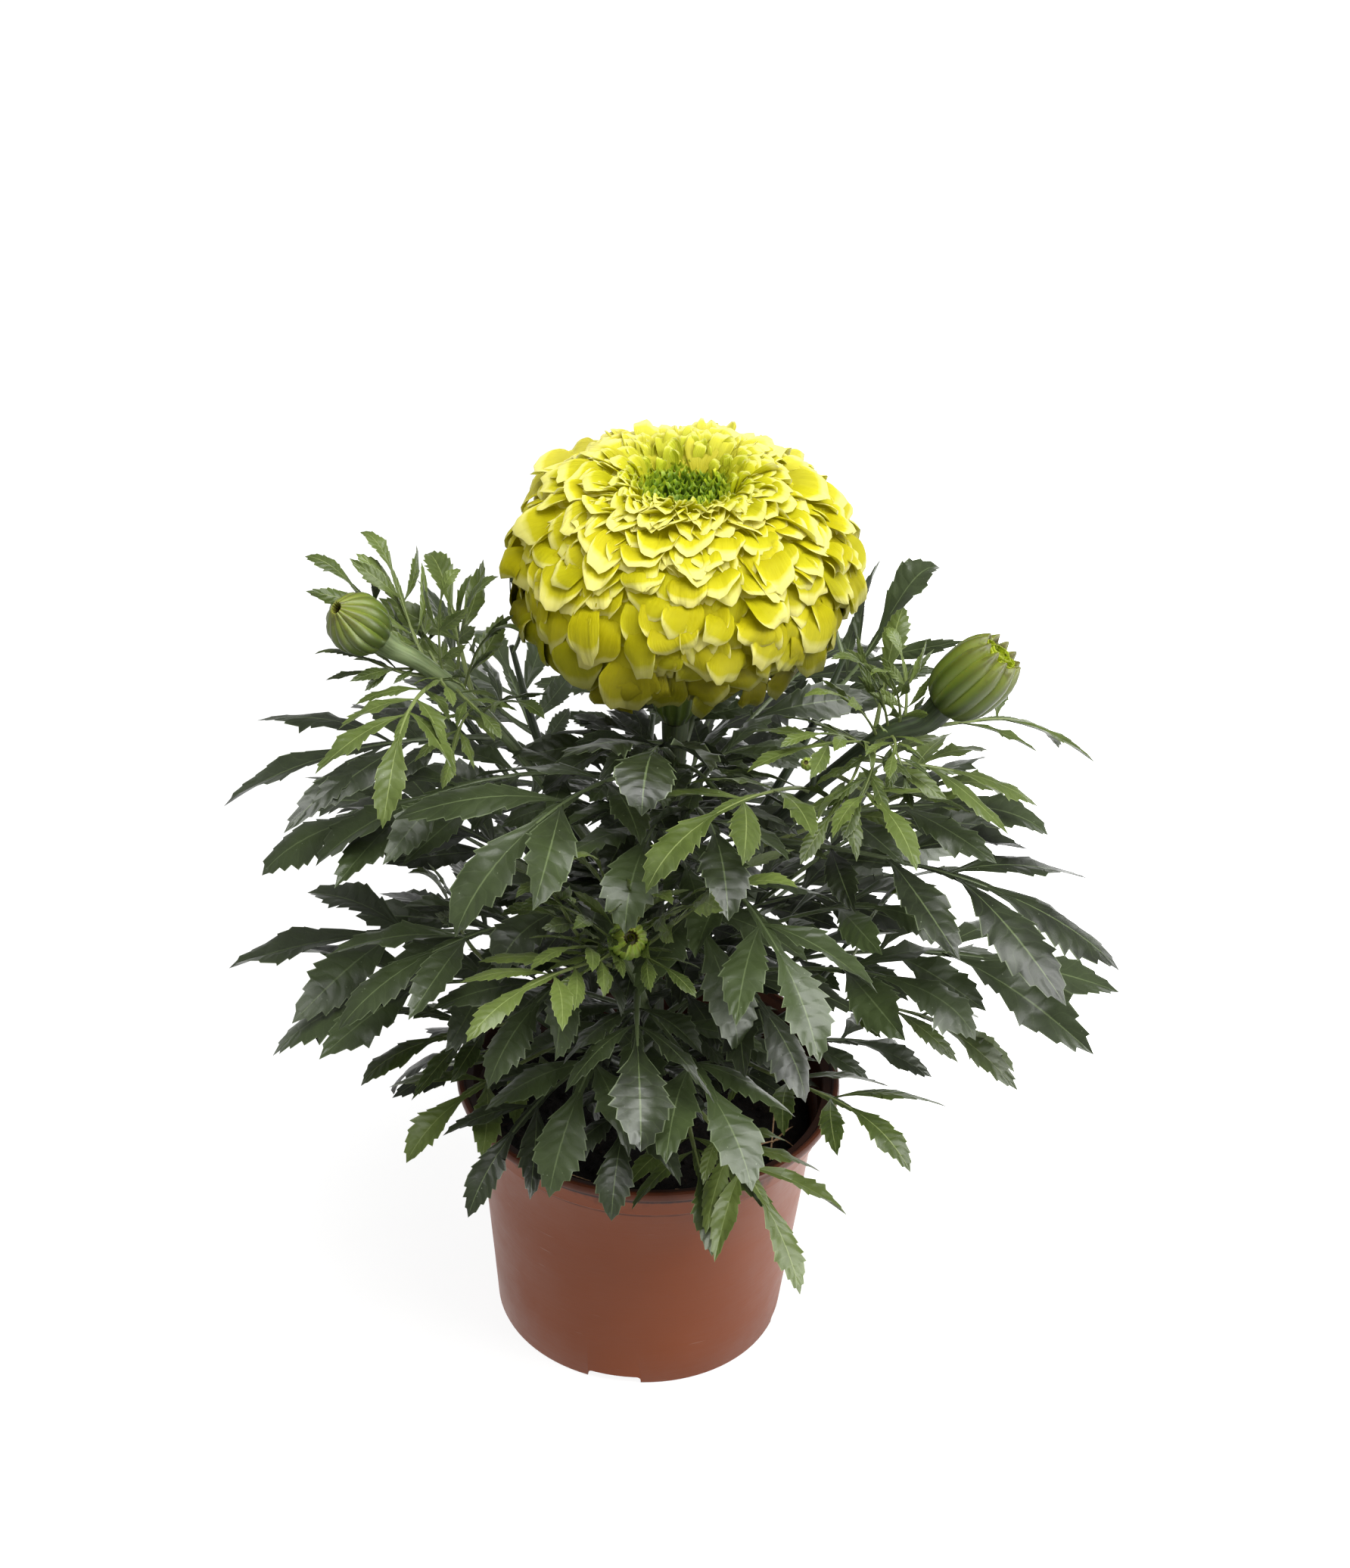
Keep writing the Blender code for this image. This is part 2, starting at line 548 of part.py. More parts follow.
def leaflet_rows(root, along, outward, face, angle, length, width, rows):
    """Return the near and far points of a side leaflet's rows, and its tip."""
    start = (along * math.cos(angle) + outward * math.sin(angle)) * 0.97 + face * 0.22
    bend = along * 0.16 - face * 0.34
    pairs = []
    for s, share in rows:
        heading = (start + bend * 2 * s).normalized()
        across = (along - heading * along.dot(heading)).normalized() * width / 2 * share
        place = root + (start + bend * s) * length * s
        pairs.append((place - across, place + across))
    return pairs, root + (start + bend) * length


def leaf_sheet(curve, pairs, reach, width_share, small):
    """Return points and faces of a compound leaf: rachis, side leaflets and end leaflet."""
    chord = (curve[3] - curve[0]).length
    end_start = 1.0 - reach / chord
    half = RACHIS_WIDTH / 2
    root_half = LEAFLET_ROOT / 2 / chord
    last_pair = end_start - END_STALK / chord - root_half
    step = min((last_pair - FIRST_PAIR) / max(pairs - 1, 1), PAIR_SPACING / chord)
    points = []
    faces = []
    lobes = []

    def add_row(place, across):
        points.extend((place - across, place + across))
        return len(points) - 2

    place, along, side, face = leaf_frame(curve, 0.0)
    row = add_row(place, side * half)
    for number in range(pairs):
        station = last_pair - step * (pairs - 1 - number)
        near = row
        for s in (station - root_half, station + root_half):
            place, along, side, face = leaf_frame(curve, s)
            near, row = row, add_row(place, side * half)
            faces.append((near, near + 1, row + 1, row))
        lobes.append((pairs - 1 - number, station, near, row))
    for s, share in SMALL_ROWS if small else END_ROWS:
        place, along, side, face = leaf_frame(curve, end_start + (1 - end_start) * s)
        near, row = row, add_row(place, side * reach * width_share / 2 * share)
        faces.append((near, near + 1, row + 1, row))
    points.append(curve[3])
    faces.append((row, row + 1, len(points) - 1))

    for from_tip, station, near, far in lobes:
        length = reach * SIDE_LENGTHS[from_tip]
        angle = math.radians(SIDE_ANGLES[from_tip])
        place, along, side, face = leaf_frame(curve, station)
        width = min(length * width_share, step * chord * math.sin(angle) * LEAFLET_FILL)
        rows = SMALL_ROWS if small else (SIDE_ROWS, SMALL_ROWS, BASE_ROWS)[from_tip]
        for hand in (0, 1):
            outward = side * (2 * hand - 1)
            outline, tip = leaflet_rows(place + outward * half, along, outward, face, angle, length,
                                        width, rows)
            edge = (near + hand, far + hand)
            for near_point, far_point in outline:
                points.extend((near_point, far_point))
                new = (len(points) - 2, len(points) - 1)
                faces.append((edge[0], edge[1], new[1], new[0]))
                edge = new
            points.append(tip)
            faces.append((edge[0], edge[1], len(points) - 1))
    return points, faces


def leaf_nudges():
    """Return turns, lifts and sizes to try for a leaf that meets a neighbour, gentlest first."""
    nudges = [(turn, lift, size) for size in (1.0, 0.93, 0.86) for turn in range(-24, 25, 4)
              for lift in range(-20, 21, 4)]
    return sorted(nudges, key=lambda nudge: (abs(nudge[0]) + abs(nudge[1]) + (1 - nudge[2]) * 160, nudge))


def nudged_tip(base, tip, nudge):
    """Return the tip turned, lifted and drawn in about the leaf's base."""
    turn, lift, size = nudge
    ray = Matrix.Rotation(math.radians(turn), 3, "Z") @ (tip - base) * size
    level = Vector((ray.y, -ray.x, 0)).normalized()
    return base + Matrix.Rotation(math.radians(lift), 3, level) @ ray


def shape_of(piece):
    """Return the search tree of a piece as it stands, in metres."""
    return BVHTree.FromObject(piece, bpy.context.evaluated_depsgraph_get())


def place_leaf(name, stem, spec, base_offset, material, strangers, siblings=(), small=False):
    """Make one compound leaf, bent clear of its neighbours, and return it.

    Where no way round the siblings on its own branch is found, it may grow through them.
    """
    t, tip, droop, pairs, reach, width_share = spec
    tip = Vector(tip)
    middle, stem_along = along_points(STEMS[stem][0], t)
    away = tip - middle
    away = (away - stem_along * away.dot(stem_along)).normalized()
    base = middle + away * base_offset
    outset = (away * 0.75 + stem_along * 0.66).normalized()

    def sheet(nudge):
        curve = leaf_curve(base, outset, nudged_tip(base, tip, nudge), math.radians(droop))
        return leaf_sheet(curve, pairs, reach * nudge[2], width_share, small)

    leaf = add_object(name, *sheet((0, 0, 1.0)), material)
    point_faces_out(leaf)
    blade = thicken(leaf, BLADE + 2 * CLEARANCE)
    for neighbours in (list(strangers) + list(siblings), strangers):
        for nudge in leaf_nudges():
            for vertex, point in zip(leaf.data.vertices, sheet(nudge)[0]):
                vertex.co = point * METRES
            leaf.data.update()
            leaf.update_tag()
            shape = shape_of(leaf)
            if not any(shape.overlap(neighbour) for neighbour in neighbours):
                blade.thickness = BLADE * METRES
                return leaf
    raise RuntimeError("no clear place for " + name)


def main():
    for startup in list(bpy.data.objects):
        bpy.data.objects.remove(startup, do_unlink=True)
    plastic = make_material("terracotta_plastic", (0.20, 0.055, 0.03), 0.45)
    peat = make_material("peat_soil", (0.012, 0.009, 0.007), 0.95)
    stem_green = make_material("stem_green", (0.10, 0.17, 0.05), 0.55)
    mature = make_material("mature_leaf", (0.035, 0.055, 0.022), 0.45)
    young = make_material("young_leaf", (0.10, 0.20, 0.03), 0.45)
    petal = make_material("lemon_petal", (0.78, 0.72, 0.08), 0.6)
    floret = make_material("green_floret", (0.35, 0.55, 0.05), 0.6)
    bract = make_material("bud_green", (0.16, 0.25, 0.04), 0.5)

    make_pot(plastic)
    make_soil(peat)
    main_points, main_radii = STEMS["stem_main"]
    add_tube("stem_main", main_points, main_radii, 8, 12, stem_green)
    make_bloom(petal, floret, bract)
    add_bud("bud_left", STEMS["branch_left"], 9.0, 19.0, 2.6, 14, bract)
    add_bud("bud_right", STEMS["branch_right"], 10.6, 24.0, 6.4, 14, bract, petal)
    add_bud("bud_front", STEMS["branch_front"], 5.8, 12.0, 2.8, 10, bract, petal)
    add_bud("bud_small", (TWIG_POINTS, TWIG_RADII), 2.0, 4.6, 0.8, 6, bract)

    branches = {name: add_tube(name, points, radii, 5, 2 * len(points) - 4, young)
                for name, (points, radii) in STEMS.items() if name != "stem_main"}
    twig = add_tube("twig", TWIG_POINTS, TWIG_RADII, 6, 3, young)
    crowd = {piece.name: shape_of(piece) for piece in bpy.context.collection.objects}

    for stem, branch in branches.items():
        grown = [twig] if stem == "branch_right" else []
        own = [stem] + [piece.name for piece in grown]
        siblings = []
        for number, spec in enumerate(BRANCH_LEAVES[stem]):
            strangers = [shape for name, shape in crowd.items() if name not in own]
            leaf = place_leaf(f"{stem}_leaf_{number + 1}", stem, spec, 0.0, young, strangers, siblings,
                              spec[4] < SMALL_REACH)
            siblings.append(shape_of(leaf))
            grown.append(leaf)
        crowd.update((piece.name, shape_of(piece)) for piece in grown)
        combine(branch, "UNION", grown, "MANIFOLD")
        cutter = add_tube("cutter", main_points, main_radii, 8, 12, young, GAP)
        combine(branch, "DIFFERENCE", [cutter], "MANIFOLD")

    for name, stem, *spec in LEAVES:
        strangers = [shape for other, shape in crowd.items() if other != stem]
        offset = radius_at(STEMS[stem][1], spec[0]) + GAP + 0.25
        leaf = place_leaf(name, stem, spec, offset, mature, strangers)
        crowd[name] = shape_of(leaf)


main()
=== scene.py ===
# %% [markdown]
# # A marigold in its nursery pot
# The real object is a young bedding plant: a moulded 12 cm pot of dark peat, a branching stem,
# about seventy large divided leaves with saw-toothed leaflets, one lemon bloom and four buds.
# The plain solids are loaded first and give every place and size. Each step below then makes
# one kind of piece, a little finer than its solid, and gives it its finish.

import math
import random

import bpy
import numpy as np
from mathutils import Matrix, Vector


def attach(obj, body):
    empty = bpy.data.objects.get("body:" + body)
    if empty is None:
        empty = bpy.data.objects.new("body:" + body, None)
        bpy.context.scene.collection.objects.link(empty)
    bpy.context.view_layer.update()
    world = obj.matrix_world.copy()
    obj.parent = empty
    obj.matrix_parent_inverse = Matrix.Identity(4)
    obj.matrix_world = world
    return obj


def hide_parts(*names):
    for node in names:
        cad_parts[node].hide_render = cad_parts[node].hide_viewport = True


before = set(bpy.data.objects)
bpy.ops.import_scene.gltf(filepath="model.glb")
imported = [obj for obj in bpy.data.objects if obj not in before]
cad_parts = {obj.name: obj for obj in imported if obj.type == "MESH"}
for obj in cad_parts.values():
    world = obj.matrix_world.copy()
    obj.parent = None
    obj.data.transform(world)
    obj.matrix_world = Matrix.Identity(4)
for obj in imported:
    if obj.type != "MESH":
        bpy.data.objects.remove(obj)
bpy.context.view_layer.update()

# %% [markdown]
# ## Helpers for shapes
# The plant is measured in millimetres, and Blender works in metres, so one factor joins them.
# An operator works on all that is selected, so each piece starts from an empty selection, and
# ends at the origin with its place in its mesh, riding on the pot's body. Round pieces such as
# the pot could be spun from a profile, but extruding one circle from ring to ring, each scaled
# to its radius, is what most people do by hand, and one function does it for all of them.

# %% Shape helpers
MM = 0.001
UP = np.array((0.0, 0.0, 1.0))
# A direction that no stem follows, from which a stem's two sides are worked out.
ASIDE = np.array((0.3, 0.9, 0.2))


def deselect():
    """Leave nothing selected."""
    if bpy.context.object and bpy.context.object.mode != "OBJECT":
        bpy.ops.object.mode_set(mode="OBJECT")
    bpy.ops.object.select_all(action="DESELECT")


def pick(piece):
    """Select this piece alone."""
    deselect()
    piece.select_set(True)
    bpy.context.view_layer.objects.active = piece


def unit(vectors):
    """Scale vectors to length one."""
    return vectors / np.linalg.norm(vectors, axis=-1, keepdims=True)


def turned_piece(profile, sides, centre=(0.0, 0.0), scale=MM):
    """Extrude a circle through a profile of radius and height about an upright line."""
    deselect()
    radius, high = profile[0]
    x, y = centre[0] * scale, centre[1] * scale
    bpy.ops.mesh.primitive_circle_add(vertices=sides, radius=radius * scale, fill_type="NGON",
                                      location=(x, y, high * scale))
    bpy.ops.object.transform_apply(location=True, rotation=False, scale=False)
    bpy.ops.object.mode_set(mode="EDIT")
    bpy.ops.mesh.select_all(action="SELECT")
    for ring_radius, ring_high in profile[1:]:
        rise = (ring_high - high) * scale
        bpy.ops.mesh.extrude_region_move(TRANSFORM_OT_translate={"value": (0, 0, rise)})
        share = ring_radius / radius
        bpy.ops.transform.resize(value=(share, share, 1.0), center_override=(x, y, ring_high * scale))
        radius, high = ring_radius, ring_high
    bpy.ops.mesh.select_all(action="SELECT")
    bpy.ops.mesh.normals_make_consistent(inside=False)
    bpy.ops.object.mode_set(mode="OBJECT")
    return bpy.context.object


def settle(piece, name, node, smooth):
    """Name a finished piece, shade it, and let it stand for its solid."""
    pick(piece)
    bpy.ops.object.transform_apply(location=True, rotation=True, scale=True)
    bpy.ops.object.shade_smooth_by_angle(angle=math.radians(smooth))
    piece.name = name
    piece.data.name = name
    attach(piece, "root")
    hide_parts(node)
    deselect()


print("helpers ready, factor", MM)

# %% [markdown]
# ## Helpers for finishes
# Colours are written as a painter's hex values, which are sRGB, and Blender mixes light in
# linear values, so one function turns one into the other. Another adds a node with its values,
# its links and a colour ramp's stops, which keeps each finish short enough to read. The colour
# of peat, of dry roots and of the bloom's core follows fine noise and nothing else, so they
# share one recipe.


# %% Finish helpers
def linear(hexa):
    """Turn an sRGB hex colour to linear red, green, blue and alpha."""
    parts = [int(hexa[i:i + 2], 16) / 255 for i in (1, 3, 5)]
    return tuple(p / 12.92 if p <= 0.04045 else ((p + 0.055) / 1.055) ** 2.4 for p in parts) + (1.0,)


def add_node(tree, kind, values=None, links=None, stops=()):
    """Add a node: values set its properties or inputs, links feed them, stops fill its ramp."""
    node = tree.nodes.new("ShaderNode" + kind)
    for key, value in (values or {}).items():
        if isinstance(key, str) and hasattr(node, key):
            setattr(node, key, value)
        else:
            node.inputs[key].default_value = value
    for key, source in (links or {}).items():
        tree.links.new(source, node.inputs[key])
    if stops:
        ramp = node.color_ramp
        ramp.elements.remove(ramp.elements[1])
        ramp.elements[0].position, ramp.elements[0].color = stops[0]
        for position, colour in stops[1:]:
            ramp.elements.new(position).color = colour
    return node


def new_finish(name, values):
    """Start a material with its Principled shader; return the material, its tree and shader."""
    material = bpy.data.materials.new(name)
    material.use_nodes = True
    shader = material.node_tree.nodes["Principled BSDF"]
    for key, value in values.items():
        shader.inputs[key].default_value = value
    return material, material.node_tree, shader


def grainy(name, values, noise, stops):
    """A finish whose colour follows noise; return it with its tree, shader and noise."""
    material, tree, shader = new_finish(name, values)
    place = add_node(tree, "TexCoord")
    grain = add_node(tree, "TexNoise", noise, {"Vector": place.outputs["Object"]})
    shade = add_node(tree, "ValToRGB", None, {0: grain.outputs[0]}, stops)
    tree.links.new(shade.outputs[0], shader.inputs["Base Color"])
    return material, tree, shader, grain


WHITE = (1.0, 1.0, 1.0, 1.0)
GREY = (0.6, 0.6, 0.6, 1.0)
BLACK = (0.0, 0.0, 0.0, 1.0)
print("sRGB mid grey is", round(linear("#808080")[0], 3), "in linear")

# %% [markdown]
# ## Moulded pot plastic
# The pot is polypropylene, coloured through in terracotta brown and moulded in a satin tool.
# Plastic gives the eye a body colour under a clear, colourless gloss, so it isn't metallic
# and its roughness is middling. Handling leaves fine level scuffs, and peat leaves dull dust.
# Scuffs are noise stretched around the wall: about 1.4 mm tall and 17 mm long.

# %% Finish of the pot
POT_BROWN = linear("#964d28")
POT_DEEP = linear("#854321")
POT_SCUFF = linear("#b08876")
POT_DIRT = linear("#2c1a13")
# Painted shadow for the dark lines under the collar and under the lip.
POT_SHADOW_LINE = linear("#2a0f06")
POT_LIP = linear("#4c2413")
# Painted shade for the inside of the wall.
POT_INSIDE_SHADE = linear("#34180a")

pot_plastic, tree, shader = new_finish("moulded_terracotta_polypropylene", {
    "Roughness": 0.42, "IOR": 1.49, "Specular IOR Level": 0.25})
place = add_node(tree, "TexCoord")
clouds = add_node(tree, "TexNoise", {"Scale": 22.0, "Detail": 3.0, "Roughness": 0.55},
                  {"Vector": place.outputs["Object"]})
body = add_node(tree, "Mix", {"data_type": "RGBA", 6: POT_DEEP, 7: POT_BROWN},
                {0: clouds.outputs[0]})
level = add_node(tree, "Mapping", {"Scale": (60.0, 60.0, 700.0)},
                 {"Vector": place.outputs["Object"]})
streaks = add_node(tree, "TexNoise", {"Scale": 1.0, "Detail": 2.0, "Roughness": 0.6},
                   {"Vector": level.outputs[0]})
rare = add_node(tree, "ValToRGB", None, {0: streaks.outputs[0]},
                ((0.72, BLACK), (0.79, (0.5, 0.5, 0.5, 1.0))))
scuffed = add_node(tree, "Mix", {"data_type": "RGBA", 7: POT_SCUFF},
                   {0: rare.outputs[0], 6: body.outputs[2]})
blots = add_node(tree, "TexNoise", {"Scale": 60.0, "Detail": 4.0, "Roughness": 0.65},
                 {"Vector": place.outputs["Object"]})
height = add_node(tree, "SeparateXYZ", None, {0: place.outputs["Object"]})
near_lip = add_node(tree, "MapRange", {1: 0.064, 2: 0.084, 3: 0.0, 4: 0.30}, {0: height.outputs[2]})
dirt_sum = add_node(tree, "Math", {"operation": "ADD"},
                    {0: blots.outputs[0], 1: near_lip.outputs[0]})
dirt = add_node(tree, "ValToRGB", None, {0: dirt_sum.outputs[0]},
                ((0.80, BLACK), (0.97, (0.75, 0.75, 0.75, 1.0))))
worn = add_node(tree, "Mix", {"data_type": "RGBA", 7: POT_DIRT},
                {0: dirt.outputs[0], 6: scuffed.outputs[2]})
# The ramp goes from 70 to 90 mm up. Its two dark lines, under the collar and under the lip,
# are painted shadow.
up_rim = add_node(tree, "MapRange", {1: 0.070, 2: 0.090}, {0: height.outputs[2]})
rim_shadow_lines = add_node(tree, "ValToRGB", None, {0: up_rim.outputs[0]},
                  ((0.0, BLACK), (0.27, BLACK), (0.29, GREY), (0.345, GREY), (0.36, BLACK),
                   (0.68, BLACK), (0.71, WHITE), (0.83, WHITE), (0.85, BLACK)))
at_lip = add_node(tree, "MapRange", {1: 0.0862, 2: 0.0868, 3: 0.0, 4: 0.8}, {0: height.outputs[2]})
lipped = add_node(tree, "Mix", {"data_type": "RGBA", 7: POT_LIP},
                  {0: at_lip.outputs[0], 6: worn.outputs[2]})
broken = add_node(tree, "MapRange", {1: 0.36, 2: 0.52, 3: 0.45, 4: 1.0}, {0: blots.outputs[0]})
shadow_line_share = add_node(tree, "Math", {"operation": "MULTIPLY"},
                      {0: rim_shadow_lines.outputs[0], 1: broken.outputs[0]})
shadow_lined = add_node(tree, "Mix", {"data_type": "RGBA", 7: POT_SHADOW_LINE},
                   {0: shadow_line_share.outputs[0], 6: lipped.outputs[2]})
# The wall's inside faces the pot's axis, and is painted darker, as painted shade.
facing = add_node(tree, "NewGeometry")
level_place = add_node(tree, "VectorMath", {"operation": "MULTIPLY", 1: (1.0, 1.0, 0.0)},
                       {0: place.outputs["Object"]})
outward = add_node(tree, "VectorMath", {"operation": "DOT_PRODUCT"},
                   {0: facing.outputs["True Normal"], 1: level_place.outputs[0]})
inside = add_node(tree, "MapRange", {1: -0.004, 2: -0.016, 3: 0.0, 4: 0.95},
                  {0: outward.outputs["Value"]})
shaded = add_node(tree, "Mix", {"data_type": "RGBA", 7: POT_INSIDE_SHADE},
                  {0: inside.outputs[0], 6: shadow_lined.outputs[2]})
tree.links.new(shaded.outputs[2], shader.inputs["Base Color"])
gloss = add_node(tree, "MapRange", {1: 0.3, 2: 0.7, 3: 0.36, 4: 0.50}, {0: blots.outputs[0]})
tree.links.new(gloss.outputs[0], shader.inputs["Roughness"])
bump = add_node(tree, "Bump", {"Strength": 0.12, "Distance": 0.0004}, {"Height": streaks.outputs[0]})
tree.links.new(bump.outputs[0], shader.inputs["Normal"])
print("pot finish:", pot_plastic.name)

# %% [markdown]
# ## The pot
# A nursery pot is thin-walled: a foot disc inside a groove with the drain holes, a foot ring
# with four notches, a tapering wall, a collar and a rolled lip. One circle is extruded up the
# outside and back down the inside, which keeps the walls even. The notches and the drain
# holes are cut out afterwards, each with a rounded block or a round rod.

# %% Model the pot
POT_SIDES = 96
POT_WALL = 1.3
GROOVE_DEPTH = 3.4
NOTCH_WIDTH = 17.0
NOTCH_HEIGHT = 2.8
NOTCH_DEPTH = 7.0
NOTCH_RADIUS = 44.5
NOTCH_ROUNDING = 1.4
DRAIN_CIRCLE = 38.0
DRAIN_RADIUS = 2.6
DRAIN_DEPTH = 6.0
NOTCH_ANGLES = (-98.0, -8.0, 82.0, 172.0)

POT_OUTSIDE = (
    (33.0, 0.0), (33.6, 0.6), (34.2, GROOVE_DEPTH), (41.8, GROOVE_DEPTH), (42.4, 0.4), (42.9, 0.0),
    (44.6, 0.0), (45.3, 0.3), (45.6, 1.0), (47.1, 16.0), (49.2, 36.0), (51.2, 56.0), (53.2, 77.2),
    (53.5, 77.9), (55.2, 78.1), (55.7, 78.7), (55.9, 80.5), (56.9, 85.4), (56.6, 85.8), (56.1, 86.0),
    (56.1, 86.6), (58.6, 86.7), (59.3, 86.9), (59.4, 87.4), (59.9, 87.6), (60.1, 88.1), (60.0, 89.1),
    (59.6, 89.7), (58.9, 90.0), (58.2, 89.9),
)
POT_INSIDE = (
    (57.7, 89.5), (57.3, 88.8), (56.6, 88.6), (54.9, 88.0), (54.4, 87.2), (54.1, 84.0), (53.6, 79.6),
    (52.4, 78.4), (51.9, 77.0),
    (49.9, 56.0), (47.9, 36.0), (45.8, 16.0), (44.2, 5.6), (43.6, 4.9), (34.0, GROOVE_DEPTH + POT_WALL),
    (32.2, POT_WALL),
)

pot = turned_piece(POT_OUTSIDE + POT_INSIDE, POT_SIDES)
print("pot rings:", len(POT_OUTSIDE + POT_INSIDE), "faces:", len(pot.data.polygons))


# %% Cut the notches and the drain holes
def cut_from(piece, cutter):
    """Cut one closed mesh out of another and remove the cutter."""
    pick(piece)
    cut = piece.modifiers.new("cut", "BOOLEAN")
    cut.operation = "DIFFERENCE"
    cut.object = cutter
    bpy.ops.object.modifier_apply(modifier=cut.name)
    bpy.data.objects.remove(cutter, do_unlink=True)


for angle in NOTCH_ANGLES:
    turn = math.radians(angle)
    deselect()
    bpy.ops.mesh.primitive_cube_add(
        size=1, location=(NOTCH_RADIUS * MM * math.cos(turn), NOTCH_RADIUS * MM * math.sin(turn), 0),
        rotation=(0, 0, turn), scale=(NOTCH_DEPTH * MM, NOTCH_WIDTH * MM, 2 * NOTCH_HEIGHT * MM))
    notch = bpy.context.object
    bpy.ops.object.transform_apply(location=False, rotation=False, scale=True)
    rounding = notch.modifiers.new("rounding", "BEVEL")
    rounding.width = NOTCH_ROUNDING * MM
    rounding.segments = 4
    bpy.ops.object.modifier_apply(modifier=rounding.name)
    cut_from(pot, notch)
    turn += math.radians(45)
    deselect()
    bpy.ops.mesh.primitive_cylinder_add(
        vertices=24, radius=DRAIN_RADIUS * MM, depth=DRAIN_DEPTH * MM,
        location=(DRAIN_CIRCLE * MM * math.cos(turn), DRAIN_CIRCLE * MM * math.sin(turn),
                  GROOVE_DEPTH * MM))
    cut_from(pot, bpy.context.object)
pot.data.materials.clear()
pot.data.materials.append(pot_plastic)
settle(pot, "pot_moulded", "pot", smooth=28)
print("pot faces after the cuts:", len(pot.data.polygons))

# %% [markdown]
# ## Peat soil
# Peat is a crumbly, moist, nearly black mat of fibres and lumps, with no gloss of its own.
# The bump is noise of about 4 mm with much finer detail in it, and its colour follows the same
# noise from black to dark brown, with a few dry paler bits. Dry roots are straw brown.

# %% Finish of the soil
peat, tree, shader, lumps = grainy(
    "moist_peat", {"Roughness": 0.92, "Specular IOR Level": 0.25},
    {"Scale": 260.0, "Detail": 6.0, "Roughness": 0.7},
    ((0.30, linear("#070505")), (0.58, linear("#17110d")), (0.76, linear("#3d2c1f"))))
bump = add_node(tree, "Bump", {"Strength": 0.9, "Distance": 0.0012}, {"Height": lumps.outputs[0]})
tree.links.new(bump.outputs[0], shader.inputs["Normal"])

root_fibre, *_ = grainy("dry_root_fibre", {"Roughness": 0.7}, {"Scale": 500.0, "Detail": 3.0},
                        ((0.35, linear("#9a7350")), (0.65, linear("#c8a580"))))
print("soil finishes:", peat.name, root_fibre.name)

# %% [markdown]
# ## The soil
# Soil fills the pot to 15 mm below the lip. Its sides follow the pot's wall, so it starts as
# a circle that is extruded up to the surface, and the top is inset ring by ring towards the
# stem, so that there are enough corners for lumps. The lumps are a random lift of each corner
# on top of broad swells, and the last ring goes down into the hole that the stem stands in.

# %% Model the soil
SOIL_TOP = 75.0
SOIL_EDGE = 50.95
STEM_HOLE = 3.9
HOLE_FLOOR = 53.0
SOIL_SIDES = 72
SOIL_RINGS = 22
SOIL_OUTSIDE = ((30.6, 1.6), (33.4, 5.2), (43.6, 6.0), (SOIL_EDGE, 74.0))
LUMP_LIFT = 1.0
LUMP_SHIFT = 0.5
SWELL_LIFT = 1.3
# How fast the swells follow each other to the side and to the back, in radians a metre.
SWELL_PACE = (160, 130)

soil_rings = tuple((SOIL_EDGE - (SOIL_EDGE - STEM_HOLE) * (ring / SOIL_RINGS) ** 0.9, SOIL_TOP)
                   for ring in range(1, SOIL_RINGS + 1))
soil = turned_piece(SOIL_OUTSIDE + soil_rings + ((STEM_HOLE, HOLE_FLOOR),), SOIL_SIDES)

draw = random.Random(31)
for vertex in soil.data.vertices:
    from_stem = math.hypot(vertex.co.x, vertex.co.y) / MM
    if vertex.co.z > (SOIL_TOP - 1.5) * MM and STEM_HOLE + 0.5 < from_stem < SOIL_EDGE - 0.45:
        swell = (SWELL_LIFT * math.sin(vertex.co.x * SWELL_PACE[0])
                 * math.cos(vertex.co.y * SWELL_PACE[1]))
        vertex.co.z += (draw.uniform(-LUMP_LIFT, LUMP_LIFT) + swell) * MM
        vertex.co.x += draw.uniform(-LUMP_SHIFT, LUMP_SHIFT) * MM
        vertex.co.y += draw.uniform(-LUMP_SHIFT, LUMP_SHIFT) * MM
soil.data.materials.append(peat)
settle(soil, "soil_fill", "soil", smooth=70)
print("soil faces:", len(soil.data.polygons))

# %% [markdown]
# ## Crumbs on the soil
# Loose crumbs of peat lie on the surface. One crumb is an icosphere of twenty faces with its
# corners drawn in or out, and its copies are turned, flattened, sized and dropped at random
# places. A ray straight down finds the lumpy surface there, and each crumb is half sunk in it.
# They are joined, because they are one sprinkling.


# %% Scatter the crumbs
def join_copies(name, template, placings, material):
    """Make one mesh of copies of a template, each at its own matrix."""
    corners = np.array([v.co for v in template.data.vertices])
    faces = [tuple(p.vertices) for p in template.data.polygons]
    points, polygons = [], []
    for matrix in placings:
        turned = corners @ np.array(matrix.to_3x3()).T + np.array(matrix.translation)
        start = len(points)
        points.extend(map(tuple, turned))
        polygons.extend(tuple(start + corner for corner in face) for face in faces)
    mesh = bpy.data.meshes.new(name)
    mesh.from_pydata(points, [], polygons)
    mesh.materials.append(material)
    piece = bpy.data.objects.new(name, mesh)
    bpy.context.scene.collection.objects.link(piece)
    return piece


CRUMBS = 420
CRUMB_FIELD = 50.0
SMALLEST_CRUMB = 0.4
LARGEST_CRUMB = 1.7
ABOVE_SOIL = 20.0

